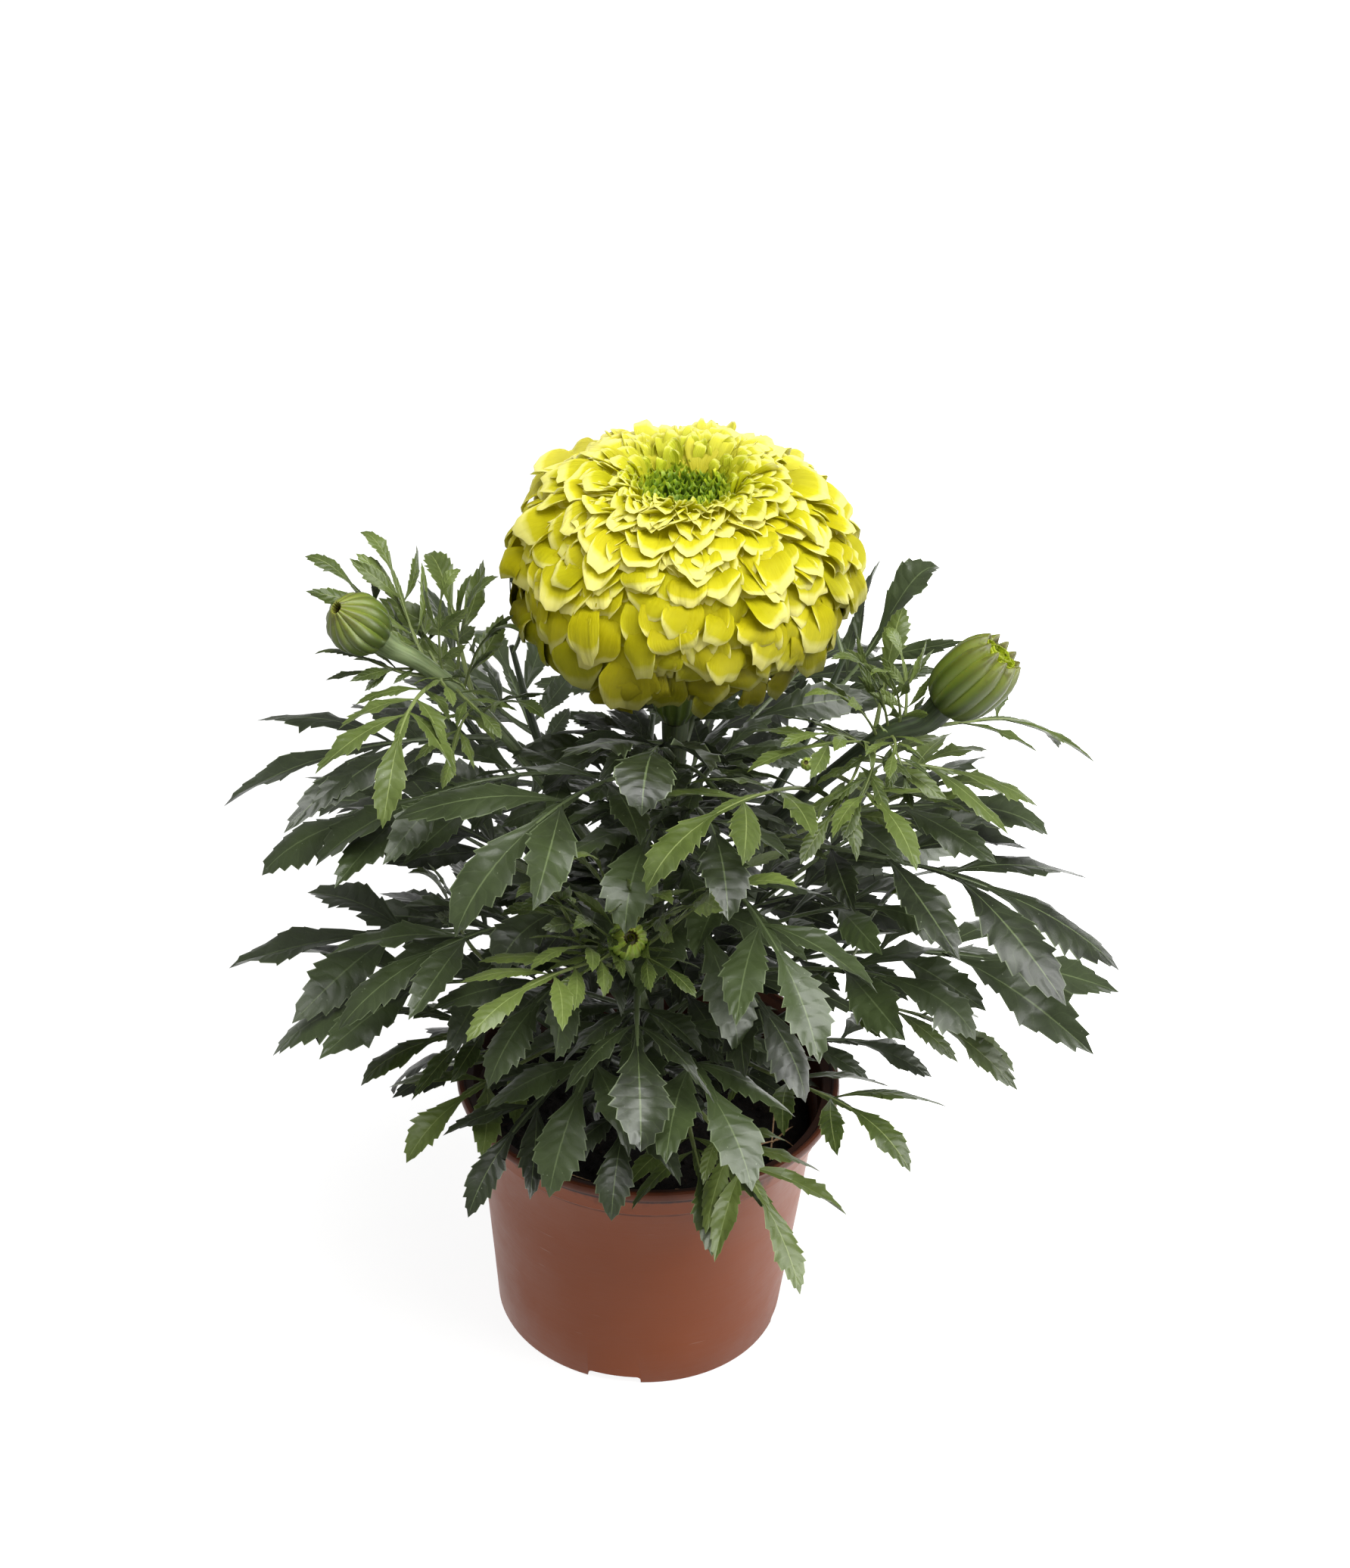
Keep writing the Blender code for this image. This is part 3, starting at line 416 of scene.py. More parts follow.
deselect()
bpy.ops.mesh.primitive_ico_sphere_add(subdivisions=1, radius=1.0)
crumb = bpy.context.object
for vertex in crumb.data.vertices:
    vertex.co *= draw.uniform(0.75, 1.2)
graph = bpy.context.evaluated_depsgraph_get()
placings = []
for number in range(CRUMBS):
    ring = math.sqrt(draw.uniform(0.03, 0.93)) * CRUMB_FIELD
    turn = draw.uniform(0, math.tau)
    size = draw.uniform(SMALLEST_CRUMB, LARGEST_CRUMB) * MM
    spin = Matrix.Rotation(draw.uniform(0, math.tau), 4, "Z") @ Matrix.Rotation(draw.uniform(0, 3), 4, "X")
    above = Vector((ring * math.cos(turn), ring * math.sin(turn), SOIL_TOP + ABOVE_SOIL)) * MM
    _, seat, _, _ = soil.ray_cast(above, Vector((0, 0, -1)), depsgraph=graph)
    placings.append(Matrix.Translation(seat) @ spin
                    @ Matrix.Diagonal((size, size * 0.8, size * 0.6, 1.0)))
crumbs = join_copies("soil_crumbs", crumb, placings, peat)
bpy.data.objects.remove(crumb, do_unlink=True)
settle(crumbs, "soil_crumbs", "soil", smooth=50)
print("crumbs:", len(placings))

# %% [markdown]
# ## Lines that bend
# Stems, leaf stalks and roots are all tubes along a smooth line. The stems' points and radii
# below are the plant's own measures, in millimetres, the same as its solids have. A smooth
# line passes through each point in turn; a leaf's middle line is one Bezier curve, which
# leaves its stem steeply and ends drooping.

# %% Lines and tubes
STEMS = {
    "stem_main": (
        ((0, 0, 53.4), (0, 0, 75), (1, 1, 100), (0, 1, 125), (-1, 0, 150), (1, 1, 175),
         (3, 0, 200), (3, 0, 222)),
        (3.6, 3.6, 3.4, 3.2, 3.0, 2.8, 3.0, 3.9)),
    "branch_left": (
        ((-1, 0, 146), (-16, -3, 172), (-38, -5, 205), (-55, -7, 228), (-70, -10, 243),
         (-79, -13.5, 250.5), (-83.5, -17, 256.5)),
        (2.1, 1.9, 1.7, 1.8, 2.6, 3.3, 3.8)),
    "branch_right": (
        ((0, 1, 140), (16, -6, 168), (36, -14, 200), (52, -20, 222), (65, -20, 234),
         (75, -19, 238.5), (79.6, -19, 244)),
        (2.2, 2.0, 1.9, 2.3, 3.3, 4.0, 4.5)),
    "branch_front": (
        ((0, 0, 104), (-1, -18, 126), (-4, -38, 152), (-8, -49, 170), (-9.5, -53.5, 178),
         (-8.5, -57.5, 182)),
        (2.0, 1.7, 1.4, 1.4, 1.8, 2.2)),
    "branch_low_left": (
        ((0, 0, 88), (-18, -6, 102), (-38, -12, 122), (-50, -16, 142)),
        (1.9, 1.6, 1.3, 0.8)),
    "branch_low_right": (
        ((0, 1, 90), (20, -4, 104), (42, -9, 122), (54, -13, 144)),
        (1.9, 1.6, 1.3, 0.8)),
    "branch_low_front": (
        ((0, -1, 84), (6, -20, 92), (13, -36, 103), (18, -45, 114)),
        (1.8, 1.5, 1.2, 0.8)),
    "branch_back_left": (
        ((0, 1, 118), (-20, 22, 150), (-38, 38, 185), (-48, 46, 216)),
        (2.0, 1.7, 1.4, 0.8)),
    "branch_back_right": (
        ((0, 2, 124), (22, 20, 158), (42, 34, 192), (54, 42, 222)),
        (2.0, 1.7, 1.4, 0.8)),
    "branch_back": (
        ((0, 1, 98), (-4, 26, 122), (-6, 50, 150), (-4, 64, 182)),
        (2.0, 1.7, 1.4, 0.8)),
}
TWIG = (((44, -17, 211), (43.5, -29, 226), (41.5, -37, 233)), (1.0, 0.9, 1.0))


def bezier(curve, s):
    """Points at each s on a Bezier curve of four points."""
    s = np.asarray(s, float)[..., None]
    r = 1 - s
    return curve[0] * r ** 3 + curve[1] * 3 * r * r * s + curve[2] * 3 * r * s * s + curve[3] * s ** 3


def bezier_slope(curve, s):
    """Directions at each s, not of unit length."""
    s = np.asarray(s, float)[..., None]
    r = 1 - s
    return ((curve[1] - curve[0]) * 3 * r * r + (curve[2] - curve[1]) * 6 * r * s
            + (curve[3] - curve[2]) * 3 * s * s)


def on_stem(points, t):
    """Place and direction at t, from 0 to 1, on the smooth line through points."""
    points = np.array(points, float)
    spans = len(points) - 1
    span = min(int(t * spans), spans - 1)
    p1, p2 = points[span], points[span + 1]
    p0 = points[span - 1] if span > 0 else p1 * 2 - p2
    p3 = points[span + 2] if span + 2 <= spans else p2 * 2 - p1
    curve = (p1, p1 + (p2 - p0) / 6, p2 - (p3 - p1) / 6, p2)
    here = t * spans - span
    return bezier(curve, here), unit(bezier_slope(curve, here))


def radius_at(radii, t):
    """The stem's radius at t."""
    return float(np.interp(t * (len(radii) - 1), range(len(radii)), radii))


print("stems:", len(STEMS), "twig radius mm:", TWIG[1][0])

# %% [markdown]
# ## Stem tissue
# A marigold's stem is green and ribbed lengthwise, duller than a leaf, with fine pale streaks
# half a millimetre to a millimetre apart. The finish runs noise that is stretched along the
# stem, and the tissue scatters a little light, which keeps its shaded side from going black.


# %% Finishes of the stems
def streaky(name, dark, light, roughness):
    """A finish for stems: two greens in fine lengthwise streaks, by the place around the stem."""
    material, tree, shader = new_finish(name, {
        "Roughness": roughness, "IOR": 1.45, "Specular IOR Level": 0.35,
        "Subsurface Weight": 0.05, "Subsurface Scale": 0.002})
    place = add_node(tree, "TexCoord")
    around = add_node(tree, "Attribute", {"attribute_name": "around"})
    streaks = add_node(tree, "TexNoise", {"Scale": 2.6, "Detail": 3.0, "Roughness": 0.6},
                       {"Vector": around.outputs["Vector"]})
    blush = add_node(tree, "TexNoise", {"Scale": 45.0, "Detail": 2.0},
                     {"Vector": place.outputs["Object"]})
    both = add_node(tree, "Math", {"operation": "ADD", 1: -0.5}, {0: streaks.outputs[0]})
    mixed = add_node(tree, "Math", {"operation": "ADD"}, {0: both.outputs[0], 1: blush.outputs[0]})
    shade = add_node(tree, "ValToRGB", None, {0: mixed.outputs[0]},
                     ((0.32, linear(dark)), (0.68, linear(light))))
    tree.links.new(shade.outputs[0], shader.inputs["Base Color"])
    bump = add_node(tree, "Bump", {"Strength": 0.35, "Distance": 0.0003},
                    {"Height": streaks.outputs[0]})
    tree.links.new(bump.outputs[0], shader.inputs["Normal"])
    return material


main_stem_tissue = streaky("ribbed_green_stem", "#20270f", "#3c4821", 0.6)
pale_stem_tissue = streaky("waxy_grey_green_branch", "#46532f", "#7c8a60", 0.5)
dark_stem_tissue = streaky("smooth_dark_green_branch", "#1c2413", "#39452a", 0.45)
print("stem finishes:", main_stem_tissue.name, pale_stem_tissue.name, dark_stem_tissue.name)

# %% [markdown]
# ## The stems
# A tube along a line could be swept by extruding a circle, turning it at each step. A curve
# with a round bevel does the same in one go and stays editable: each point has its own
# radius, and the curve is turned to a mesh at the end, with its ends capped. Each corner then
# remembers where it lies around and along the stem, which the streaks of the finish follow.


# %% Model the stems
def stem_mesh(name, points, radii, steps, material, resolution=3):
    """A tube through points with its own radius at each, made as a bevelled curve."""
    deselect()
    bpy.ops.curve.primitive_nurbs_path_add()
    tube = bpy.context.object
    line = tube.data
    line.splines.clear()
    spline = line.splines.new("POLY")
    spline.points.add(steps)
    line_steps = [on_stem(points, step / steps) for step in range(steps + 1)]
    for step, (here, _) in enumerate(line_steps):
        spline.points[step].co = (*(here * MM), 1.0)
        spline.points[step].radius = radius_at(radii, step / steps)
    line.dimensions = "3D"
    line.bevel_depth = MM
    line.bevel_resolution = resolution
    line.use_fill_caps = True
    bpy.ops.object.convert(target="MESH")
    tube = bpy.context.object
    bpy.ops.object.mode_set(mode="EDIT")
    bpy.ops.mesh.select_all(action="SELECT")
    bpy.ops.mesh.remove_doubles(threshold=0.01 * MM)
    bpy.ops.mesh.normals_make_consistent(inside=False)
    bpy.ops.object.mode_set(mode="OBJECT")
    tube.data.materials.clear()
    tube.data.materials.append(material)
    tube.name = name
    corners = np.array([v.co for v in tube.data.vertices]) / MM
    middles = np.array([place for place, _ in line_steps])
    slopes = np.array([slope for _, slope in line_steps])
    nearest = np.linalg.norm(corners[:, None] - middles[None], axis=2).argmin(1)
    out = unit(corners - middles[nearest] + 0.001)
    side = unit(np.cross(slopes[nearest], ASIDE))
    other = np.cross(side, slopes[nearest])
    far = np.cumsum(np.linalg.norm(np.diff(middles, axis=0, prepend=middles[:1]), axis=1))[nearest]
    around = np.stack(((out * side).sum(1) * 1.5, (out * other).sum(1) * 1.5, far / 40), axis=1)
    layer = tube.data.attributes.new("around", "FLOAT_VECTOR", "POINT")
    layer.data.foreach_set("vector", around.astype(np.float32).ravel())
    return tube


def joined(pieces):
    """Join pieces into the first of them."""
    pick(pieces[0])
    for piece in pieces:
        piece.select_set(True)
    if len(pieces) > 1:
        bpy.ops.object.join()
    return pieces[0]


STEM_RIBS = 6
RIB_HEIGHT = 0.05
stem = stem_mesh("stem", *STEMS["stem_main"], 48, main_stem_tissue, resolution=6)
for vertex in stem.data.vertices:
    turn = math.atan2(vertex.co.y, vertex.co.x)
    vertex.co.x *= 1 + RIB_HEIGHT * math.cos(turn * STEM_RIBS)
    vertex.co.y *= 1 + RIB_HEIGHT * math.cos(turn * STEM_RIBS)
settle(stem, "stem_ribbed", "stem_main", smooth=60)

for name, (points, radii) in STEMS.items():
    if name != "stem_main":
        tissue = pale_stem_tissue if name in ("branch_left", "branch_front") else dark_stem_tissue
        tubes = [stem_mesh("branch", points, radii, 8 * len(points), tissue)]
        if name == "branch_right":
            tubes.append(stem_mesh("twig", *TWIG, 12, tissue))
        settle(joined(tubes), name.replace("branch", "stalk"), name, smooth=60)
print("stems made:", len(STEMS))

# %% [markdown]
# ## Where each leaf grows
# Each row says where one leaf starts on its stem, from 0 to 1, where its tip ends, how many
# degrees it droops, how many pairs of leaflets it has, how long its end leaflet is and how
# broad that is for its length. When the solids were made, a leaf that met a neighbour was
# turned or lifted a few degrees. That small turn is found again here: of the turns that were
# tried, it is the one whose tip lies on the solid.

# %% Leaf measures
LEAVES = (
    ("leaf_front_1", "stem_main", 0.93, (-6, -74, 238), 60, 2, 36, 0.47),
    ("leaf_front_2", "stem_main", 0.88, (-49, -88, 188), 60, 3, 46, 0.32),
    ("leaf_front_3", "branch_front", 0.42, (-1, -100, 140), 70, 2, 38, 0.42),
    ("leaf_front_4", "branch_front", 0.30, (31, -101, 138), 65, 2, 42, 0.33),
    ("leaf_front_5", "stem_main", 0.71, (49, -91, 168), 55, 3, 40, 0.31),
    ("leaf_front_6", "stem_main", 0.40, (-27, -92, 121), 65, 2, 38, 0.38),
    ("leaf_front_7", "stem_main", 0.50, (-46, -86, 142), 55, 3, 38, 0.31),
    ("leaf_front_8", "branch_front", 0.16, (-9, -95, 120), 70, 2, 34, 0.28),
    ("leaf_front_9", "stem_main", 0.29, (-50, -81, 84), 65, 2, 34, 0.24),
    ("leaf_front_10", "stem_main", 0.82, (32, -80, 198), 60, 3, 38, 0.33),
    ("leaf_front_11", "stem_main", 0.80, (-4, -78, 200), 75, 2, 40, 0.36),
    ("leaf_front_12", "stem_main", 0.66, (16, -74, 174), 80, 2, 40, 0.36),
    ("leaf_front_13", "stem_main", 0.62, (-26, -74, 164), 80, 2, 40, 0.36),
    ("leaf_front_14", "stem_main", 0.54, (46, -72, 138), 75, 2, 38, 0.34),
    ("leaf_left_1", "branch_left", 0.42, (-128, -20, 197), 40, 3, 48, 0.24),
    ("leaf_left_2", "branch_left", 0.28, (-116, -26, 176), 60, 2, 46, 0.28),
    ("leaf_left_3", "stem_main", 0.83, (-96, -46, 190), 50, 2, 40, 0.31),
    ("leaf_left_4", "stem_main", 0.50, (-101, 14, 166), 30, 3, 42, 0.31),
    ("leaf_left_5", "stem_main", 0.44, (-125, -25, 152), 25, 3, 48, 0.32),
    ("leaf_left_6", "stem_main", 0.36, (-112, -46, 125), 50, 3, 46, 0.33),
    ("leaf_left_7", "stem_main", 0.55, (-90, -71, 148), 45, 3, 42, 0.28),
    ("leaf_left_8", "branch_low_left", 0.36, (-76, 4, 63), 80, 2, 36, 0.28),
    ("leaf_right_1", "branch_right", 0.34, (114, -15, 192), 45, 2, 42, 0.29),
    ("leaf_right_2", "branch_right", 0.28, (137, -40, 167), 45, 3, 54, 0.29),
    ("leaf_right_3", "stem_main", 0.46, (97, -46, 187), 50, 3, 42, 0.28),
    ("leaf_right_4", "stem_main", 0.41, (90, -54, 140), 65, 3, 42, 0.35),
    ("leaf_right_5", "stem_main", 0.35, (146, 15, 118), 25, 2, 52, 0.31),
    ("leaf_right_6", "stem_main", 0.48, (88, 18, 150), 40, 3, 40, 0.38),
    ("leaf_right_7", "branch_low_right", 0.40, (86, 24, 74), 75, 2, 34, 0.26),
    ("leaf_back_1", "stem_main", 0.90, (-22, 98, 214), 45, 3, 44, 0.31),
    ("leaf_back_2", "stem_main", 0.83, (26, 104, 205), 45, 3, 44, 0.31),
    ("leaf_back_3", "stem_main", 0.40, (110, 50, 170), 45, 3, 46, 0.31),
    ("leaf_back_4", "stem_main", 0.44, (-112, 48, 150), 40, 3, 46, 0.31),
    ("leaf_back_5", "stem_main", 0.32, (88, 84, 124), 50, 3, 44, 0.31),
    ("leaf_back_6", "stem_main", 0.23, (-88, 50, 108), 60, 3, 40, 0.31),
    ("leaf_back_7", "branch_back", 0.25, (26, 96, 84), 65, 2, 38, 0.31),
    ("leaf_back_8", "branch_back_left", 0.35, (-84, 84, 176), 45, 2, 42, 0.31),
    ("leaf_back_9", "stem_main", 0.50, (20, 118, 150), 50, 3, 44, 0.31),
    ("leaf_back_10", "stem_main", 0.75, (60, 88, 196), 45, 3, 42, 0.31),
)

YOUNG_LEAVES = {
    "branch_left": (
        (0.60, (-77, -69, 226), 50, 3, 34, 0.28),
        (0.66, (-91, 2, 272), -15, 1, 24, 0.28),
        (0.50, (-72, 28, 258), 20, 2, 26, 0.31),
        (0.56, (-44, -6, 270), -20, 1, 20, 0.26),
        (0.62, (-101, -18, 250), 20, 1, 20, 0.21),
    ),
    "branch_right": (
        (0.60, (68, 4, 262), 0, 1, 26, 0.33),
        (0.68, (120, 26, 201), 60, 2, 34, 0.21),
        (0.53, (110, -20, 211), 40, 2, 32, 0.24),
        (0.47, (72, -72, 231), 40, 3, 32, 0.26),
        (0.40, (-2, -86, 234), 50, 3, 38, 0.35),
        (0.24, (104, 12, 190), 60, 2, 34, 0.26),
    ),
    "branch_front": (
        (0.60, (33, -74, 226), 0, 3, 34, 0.24),
        (0.72, (-50, -106, 181), 35, 3, 32, 0.26),
        (0.52, (-39, -82, 214), 20, 2, 22, 0.24),
    ),
    "branch_low_left": (
        (0.60, (-87, -36, 108), 55, 3, 34, 0.31),
        (0.44, (-71, -62, 100), 50, 3, 34, 0.31),
        (0.98, (-74, -20, 176), 10, 1, 24, 0.28),
    ),
    "branch_low_right": (
        (0.36, (78, -76, 117), 40, 3, 36, 0.26),
        (0.74, (115, 5, 93), 50, 3, 36, 0.26),
        (0.98, (76, -24, 182), 10, 1, 24, 0.28),
    ),
    "branch_low_front": (
        (0.62, (22, -86, 90), 65, 2, 34, 0.33),
        (0.84, (48, -91, 81), 65, 3, 36, 0.26),
    ),
    "branch_back_left": (
        (0.70, (-96, 62, 214), 40, 2, 32, 0.28),
        (0.56, (-62, 100, 186), 45, 3, 38, 0.28),
        (0.98, (-46, 50, 252), 0, 1, 26, 0.28),
    ),
    "branch_back_right": (
        (0.84, (82, 60, 242), 30, 2, 34, 0.47),
        (0.56, (64, 100, 186), 45, 3, 38, 0.28),
        (0.98, (40, 62, 250), 0, 1, 26, 0.28),
    ),
    "branch_back": (
        (0.60, (-72, 92, 128), 50, 3, 38, 0.28),
        (0.84, (-28, 122, 150), 60, 2, 36, 0.28),
        (0.50, (44, 112, 118), 55, 3, 38, 0.28),
    ),
}
print("mature leaves:", len(LEAVES), "young leaves:", sum(map(len, YOUNG_LEAVES.values())))

# %% Leaf lines
# The bare stalk below the end leaflet, the foot of a side leaflet and the widest spacing of
# the pairs in millimetres, and the place of the lowest pair as a share of the leaf's length.
END_STALK = 4.0
LEAFLET_ROOT = 3.4
PAIR_SPACING = 17.0
FIRST_PAIR = 0.16
# Side leaflets from the end pair down: their length for the end leaflet's, and their angle.
SIDE_LENGTHS = (0.92, 0.76, 0.54, 0.42)
SIDE_ANGLES = (46, 55, 63, 66)
# How long a leaf's line keeps its first and its last direction, as shares of its span, how
# far it leaves its stem outwards and forwards, and how far off the stem's surface it starts.
FIRST_HANDLE = 0.36
LAST_HANDLE = 0.32
OUTWARDS = 0.75
FORWARDS = 0.66
OFF_SURFACE = 0.55


def turned(vector, axis, degrees):
    """Turn a vector about an axis."""
    return np.array(Matrix.Rotation(math.radians(degrees), 3, Vector(axis)) @ Vector(vector))


def nudged_tip(base, tip, nudge):
    """The tip turned, lifted and drawn in about the leaf's base."""
    turn, lift, size = nudge
    ray = turned((tip - base) * size, (0, 0, 1), turn)
    level = unit(np.array((ray[1], -ray[0], 0.0)))
    return base + turned(ray, level, lift)


NUDGES = sorted(((turn, lift, size) for size in (1.0, 0.93, 0.86) for turn in range(-24, 25, 4)
                 for lift in range(-20, 21, 4)),
                key=lambda nudge: (abs(nudge[0]) + abs(nudge[1]) + (1 - nudge[2]) * 160, nudge))


def leaf_line(base, outset, tip, droop):
    """The leaf's middle line, which leaves along outset and ends drooping."""
    span = np.linalg.norm(tip - base)
    level = unit(np.array((tip[0] - base[0], tip[1] - base[1], 0.0)))
    ending = level * math.cos(droop) - UP * math.sin(droop)
    return np.array((base, base + outset * span * FIRST_HANDLE,
                     tip - ending * span * LAST_HANDLE, tip))


def leaf_frame(curve, s):
    """Place, direction, side and upper face of a leaf at each s along its middle line."""
    along = unit(bezier_slope(curve, s))
    flat = np.array((curve[3][0] - curve[0][0], curve[3][1] - curve[0][1], 0.0))
    hint = UP - unit(flat) * along[..., 2:3] * 0.4
    side = unit(np.cross(along, hint))
    return bezier(curve, s), along, side, np.cross(side, along)


def grown_leaf(node, stem, spec, on_surface):
    """Find a leaf's middle line again, with the turn that its solid has."""
    t, tip, droop, pairs, reach, width = spec
    tip = np.array(tip, float)
    middle, stem_along = on_stem(STEMS[stem][0], t)
    away = tip - middle
    away = unit(away - stem_along * away.dot(stem_along))
    base = middle + away * (radius_at(STEMS[stem][1], t) + OFF_SURFACE if on_surface else 0.0)
    outset = unit(away * OUTWARDS + stem_along * FORWARDS)
    corners = np.array([v.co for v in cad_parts[node].data.vertices]) / MM
    misses = [np.linalg.norm(corners - nudged_tip(base, tip, nudge), axis=1).min() for nudge in NUDGES]
    best = int(np.argmin(misses))
    line = leaf_line(base, outset, nudged_tip(base, tip, NUDGES[best]), math.radians(droop))
    return {"line": line, "pairs": pairs, "reach": reach * NUDGES[best][2], "width": width,
            "foot": middle, "miss": misses[best]}


leaves = {}
for name, stem, *spec in LEAVES:
    leaves[name] = [grown_leaf(name, stem, spec, True)]
for stem, specs in YOUNG_LEAVES.items():
    leaves[stem] = [grown_leaf(stem, stem, spec, False) for spec in specs]
print("leaves found:", sum(map(len, leaves.values())),
      "worst miss mm:", round(max(leaf["miss"] for grown in leaves.values() for leaf in grown), 2))

# %% [markdown]
# ## One leaflet
# A leaflet is a pointed blade with saw teeth that lean towards its tip. It could be cut from
# a plane by its outline, but then it would have no rows to bend along. A grid is better: its
# columns run from edge to edge and its rows from base to tip, so the teeth are simply rows
# that stand out. It is modelled flat, one unit long and two wide, and Solidify gives it its
# thickness, with the edge drawn to nothing by a vertex group. The petals are made the same
# way, so one function thickens both and reads off the shape that is copied.

# %% Model the leaflet
LEAFLET_TEETH = 7
LEAFLET_COLUMNS = 4
FIRST_TOOTH = 0.30
LAST_TOOTH = 0.93
# The blade without its teeth: place along it, and half width.
BLADE_PLACES = (0.0, 0.12, 0.24, 0.36, 0.48, 0.60, 0.72, 0.86, 0.95, 1.0)
BLADE_WIDTHS = (0.09, 0.15, 0.36, 0.64, 0.88, 1.0, 0.88, 0.50, 0.20, 0.0)


def leaflet_outline():
    """Rows of the leaflet: place along it, half width, and how far the edge leans forward."""
    rows = [(place, width, 0.0) for place, width in zip(BLADE_PLACES[:3], BLADE_WIDTHS[:3])]
    step = (LAST_TOOTH - FIRST_TOOTH) / LEAFLET_TEETH
    for tooth in range(LEAFLET_TEETH):
        s = FIRST_TOOTH + step * tooth
        for ahead, stand, lean in ((0.76, 0.11, 0.016), (1.0, -0.05, 0.0)):
            here = s + step * ahead
            width = float(np.interp(here, BLADE_PLACES, BLADE_WIDTHS))
            rows.append((here, width + stand * width ** 0.5, lean))
    rows.append((1.0, 0.0, 0.0))
    return rows


def weld():
    """Merge the corners of the mesh in edit mode that lie in one place."""
    bpy.ops.mesh.select_all(action="SELECT")
    bpy.ops.mesh.remove_doubles(threshold=0.0001)


def thick_template(columns, rows, place_corner):
    """Shape a grid, thicken it to a sharp edge, and read its corners, faces and pattern."""
    deselect()
    bpy.ops.mesh.primitive_grid_add(x_subdivisions=len(rows) - 1, y_subdivisions=columns, size=2)
    blade = bpy.context.object
    for vertex in blade.data.vertices:
        row = round((vertex.co.x + 1) / 2 * (len(rows) - 1))
        vertex.co = place_corner(vertex.co.y, *rows[row])
    bpy.ops.object.mode_set(mode="EDIT")
    weld()
    bpy.ops.mesh.select_all(action="DESELECT")
    bpy.ops.mesh.select_mode(type="EDGE")
    bpy.ops.mesh.select_non_manifold()
    bpy.ops.object.mode_set(mode="OBJECT")
    inner = blade.vertex_groups.new(name="blade")
    inner.add([v.index for v in blade.data.vertices if not v.select], 1.0, "REPLACE")
    thick = blade.modifiers.new("thickness", "SOLIDIFY")
    thick.thickness = 1.0
    thick.offset = 0.0
    thick.vertex_group = inner.name
    thick.use_rim = False
    bpy.ops.object.modifier_apply(modifier=thick.name)
    bpy.ops.object.mode_set(mode="EDIT")
    weld()
    bpy.ops.mesh.normals_make_consistent(inside=False)
    bpy.ops.object.mode_set(mode="OBJECT")
    corners = np.array([v.co for v in blade.data.vertices])
    faces = [tuple(p.vertices) for p in blade.data.polygons]
    pattern = np.array([loop.uv for loop in blade.data.uv_layers[0].data])
    bpy.data.objects.remove(blade, do_unlink=True)
    return corners, faces, pattern


LEAFLET = thick_template(LEAFLET_COLUMNS, leaflet_outline(),
                         lambda u, s, half, lean: (s + lean * abs(u) ** 3, u * half, 0.0))
print("leaflet corners:", len(LEAFLET[0]), "faces:", len(LEAFLET[1]))

# %% [markdown]
# ## Gathering copies into one piece
# A marigold's leaf has up to nine leaflets, and its bloom has hundreds of petals. Each could
# be an object of its own, to be joined at the end, but so many objects make Blender slow. The
# bent copies are gathered as lists of corners and faces instead, and one mesh is made of them.
# Each copy brings the pattern coordinates that its veins follow, and a tone that makes it a
# little lighter or darker than its neighbours.


# %% Gather copies
class Sheaf:
    """Collects bent copies, which become one mesh with its pattern and tone."""

    def __init__(self):
        self.points, self.faces, self.pattern, self.tone, self.count = [], [], [], [], 0

    def add(self, points, faces, pattern, tone):
        """Take one copy: its points in millimetres, faces, pattern and tone."""
        self.points.append(points)
        self.faces.extend(tuple(self.count + corner for corner in face) for face in faces)
        self.pattern.append(pattern)
        self.tone.append(np.full(len(points), tone))
        self.count += len(points)

    def make(self, name, material):
        """Make the mesh in metres."""
        mesh = bpy.data.meshes.new(name)
        mesh.from_pydata((np.concatenate(self.points) * MM).tolist(), [], self.faces)
        layer = mesh.uv_layers.new(name="pattern")
        layer.data.foreach_set("uv", np.concatenate(self.pattern).astype(np.float32).ravel())
        tone = mesh.attributes.new("tone", "FLOAT", "POINT")
        tone.data.foreach_set("value", np.concatenate(self.tone).astype(np.float32))
        mesh.materials.append(material)
        piece = bpy.data.objects.new(name, mesh)
        bpy.context.scene.collection.objects.link(piece)
        return piece


print("corners in a new sheaf:", Sheaf().count)

# %% [markdown]
# ## Bending a leaflet
# Each copy of the leaflet is bent along its own line: a side leaflet leaves the leaf's stalk
# at 46 to 66 degrees and bows down, and the end leaflet carries on along the leaf's own line.
# Its two halves fold up from the rib and turn down at the edge, and a seeded draw gives each
# its own fold, twist, bow and ripple, because no two leaflets on a plant are alike.

# %% Bend a leaflet
BLADE_THICKNESS = 0.34


def ragged(corners, draw):
    """Shift the edge corners of a template, so that no two leaflets have the same teeth."""
    noise = np.array([(draw.uniform(-0.012, 0.012), draw.uniform(-0.10, 0.10)) for _ in corners])
    edge = (np.abs(corners[:, 2]) < 0.01) & (corners[:, 0] > 0.3) & (corners[:, 0] < 0.97)
    moved = corners.copy()
    moved[edge, 0] += noise[edge, 0]
    moved[edge, 1] *= 1 + noise[edge, 1]
    return moved


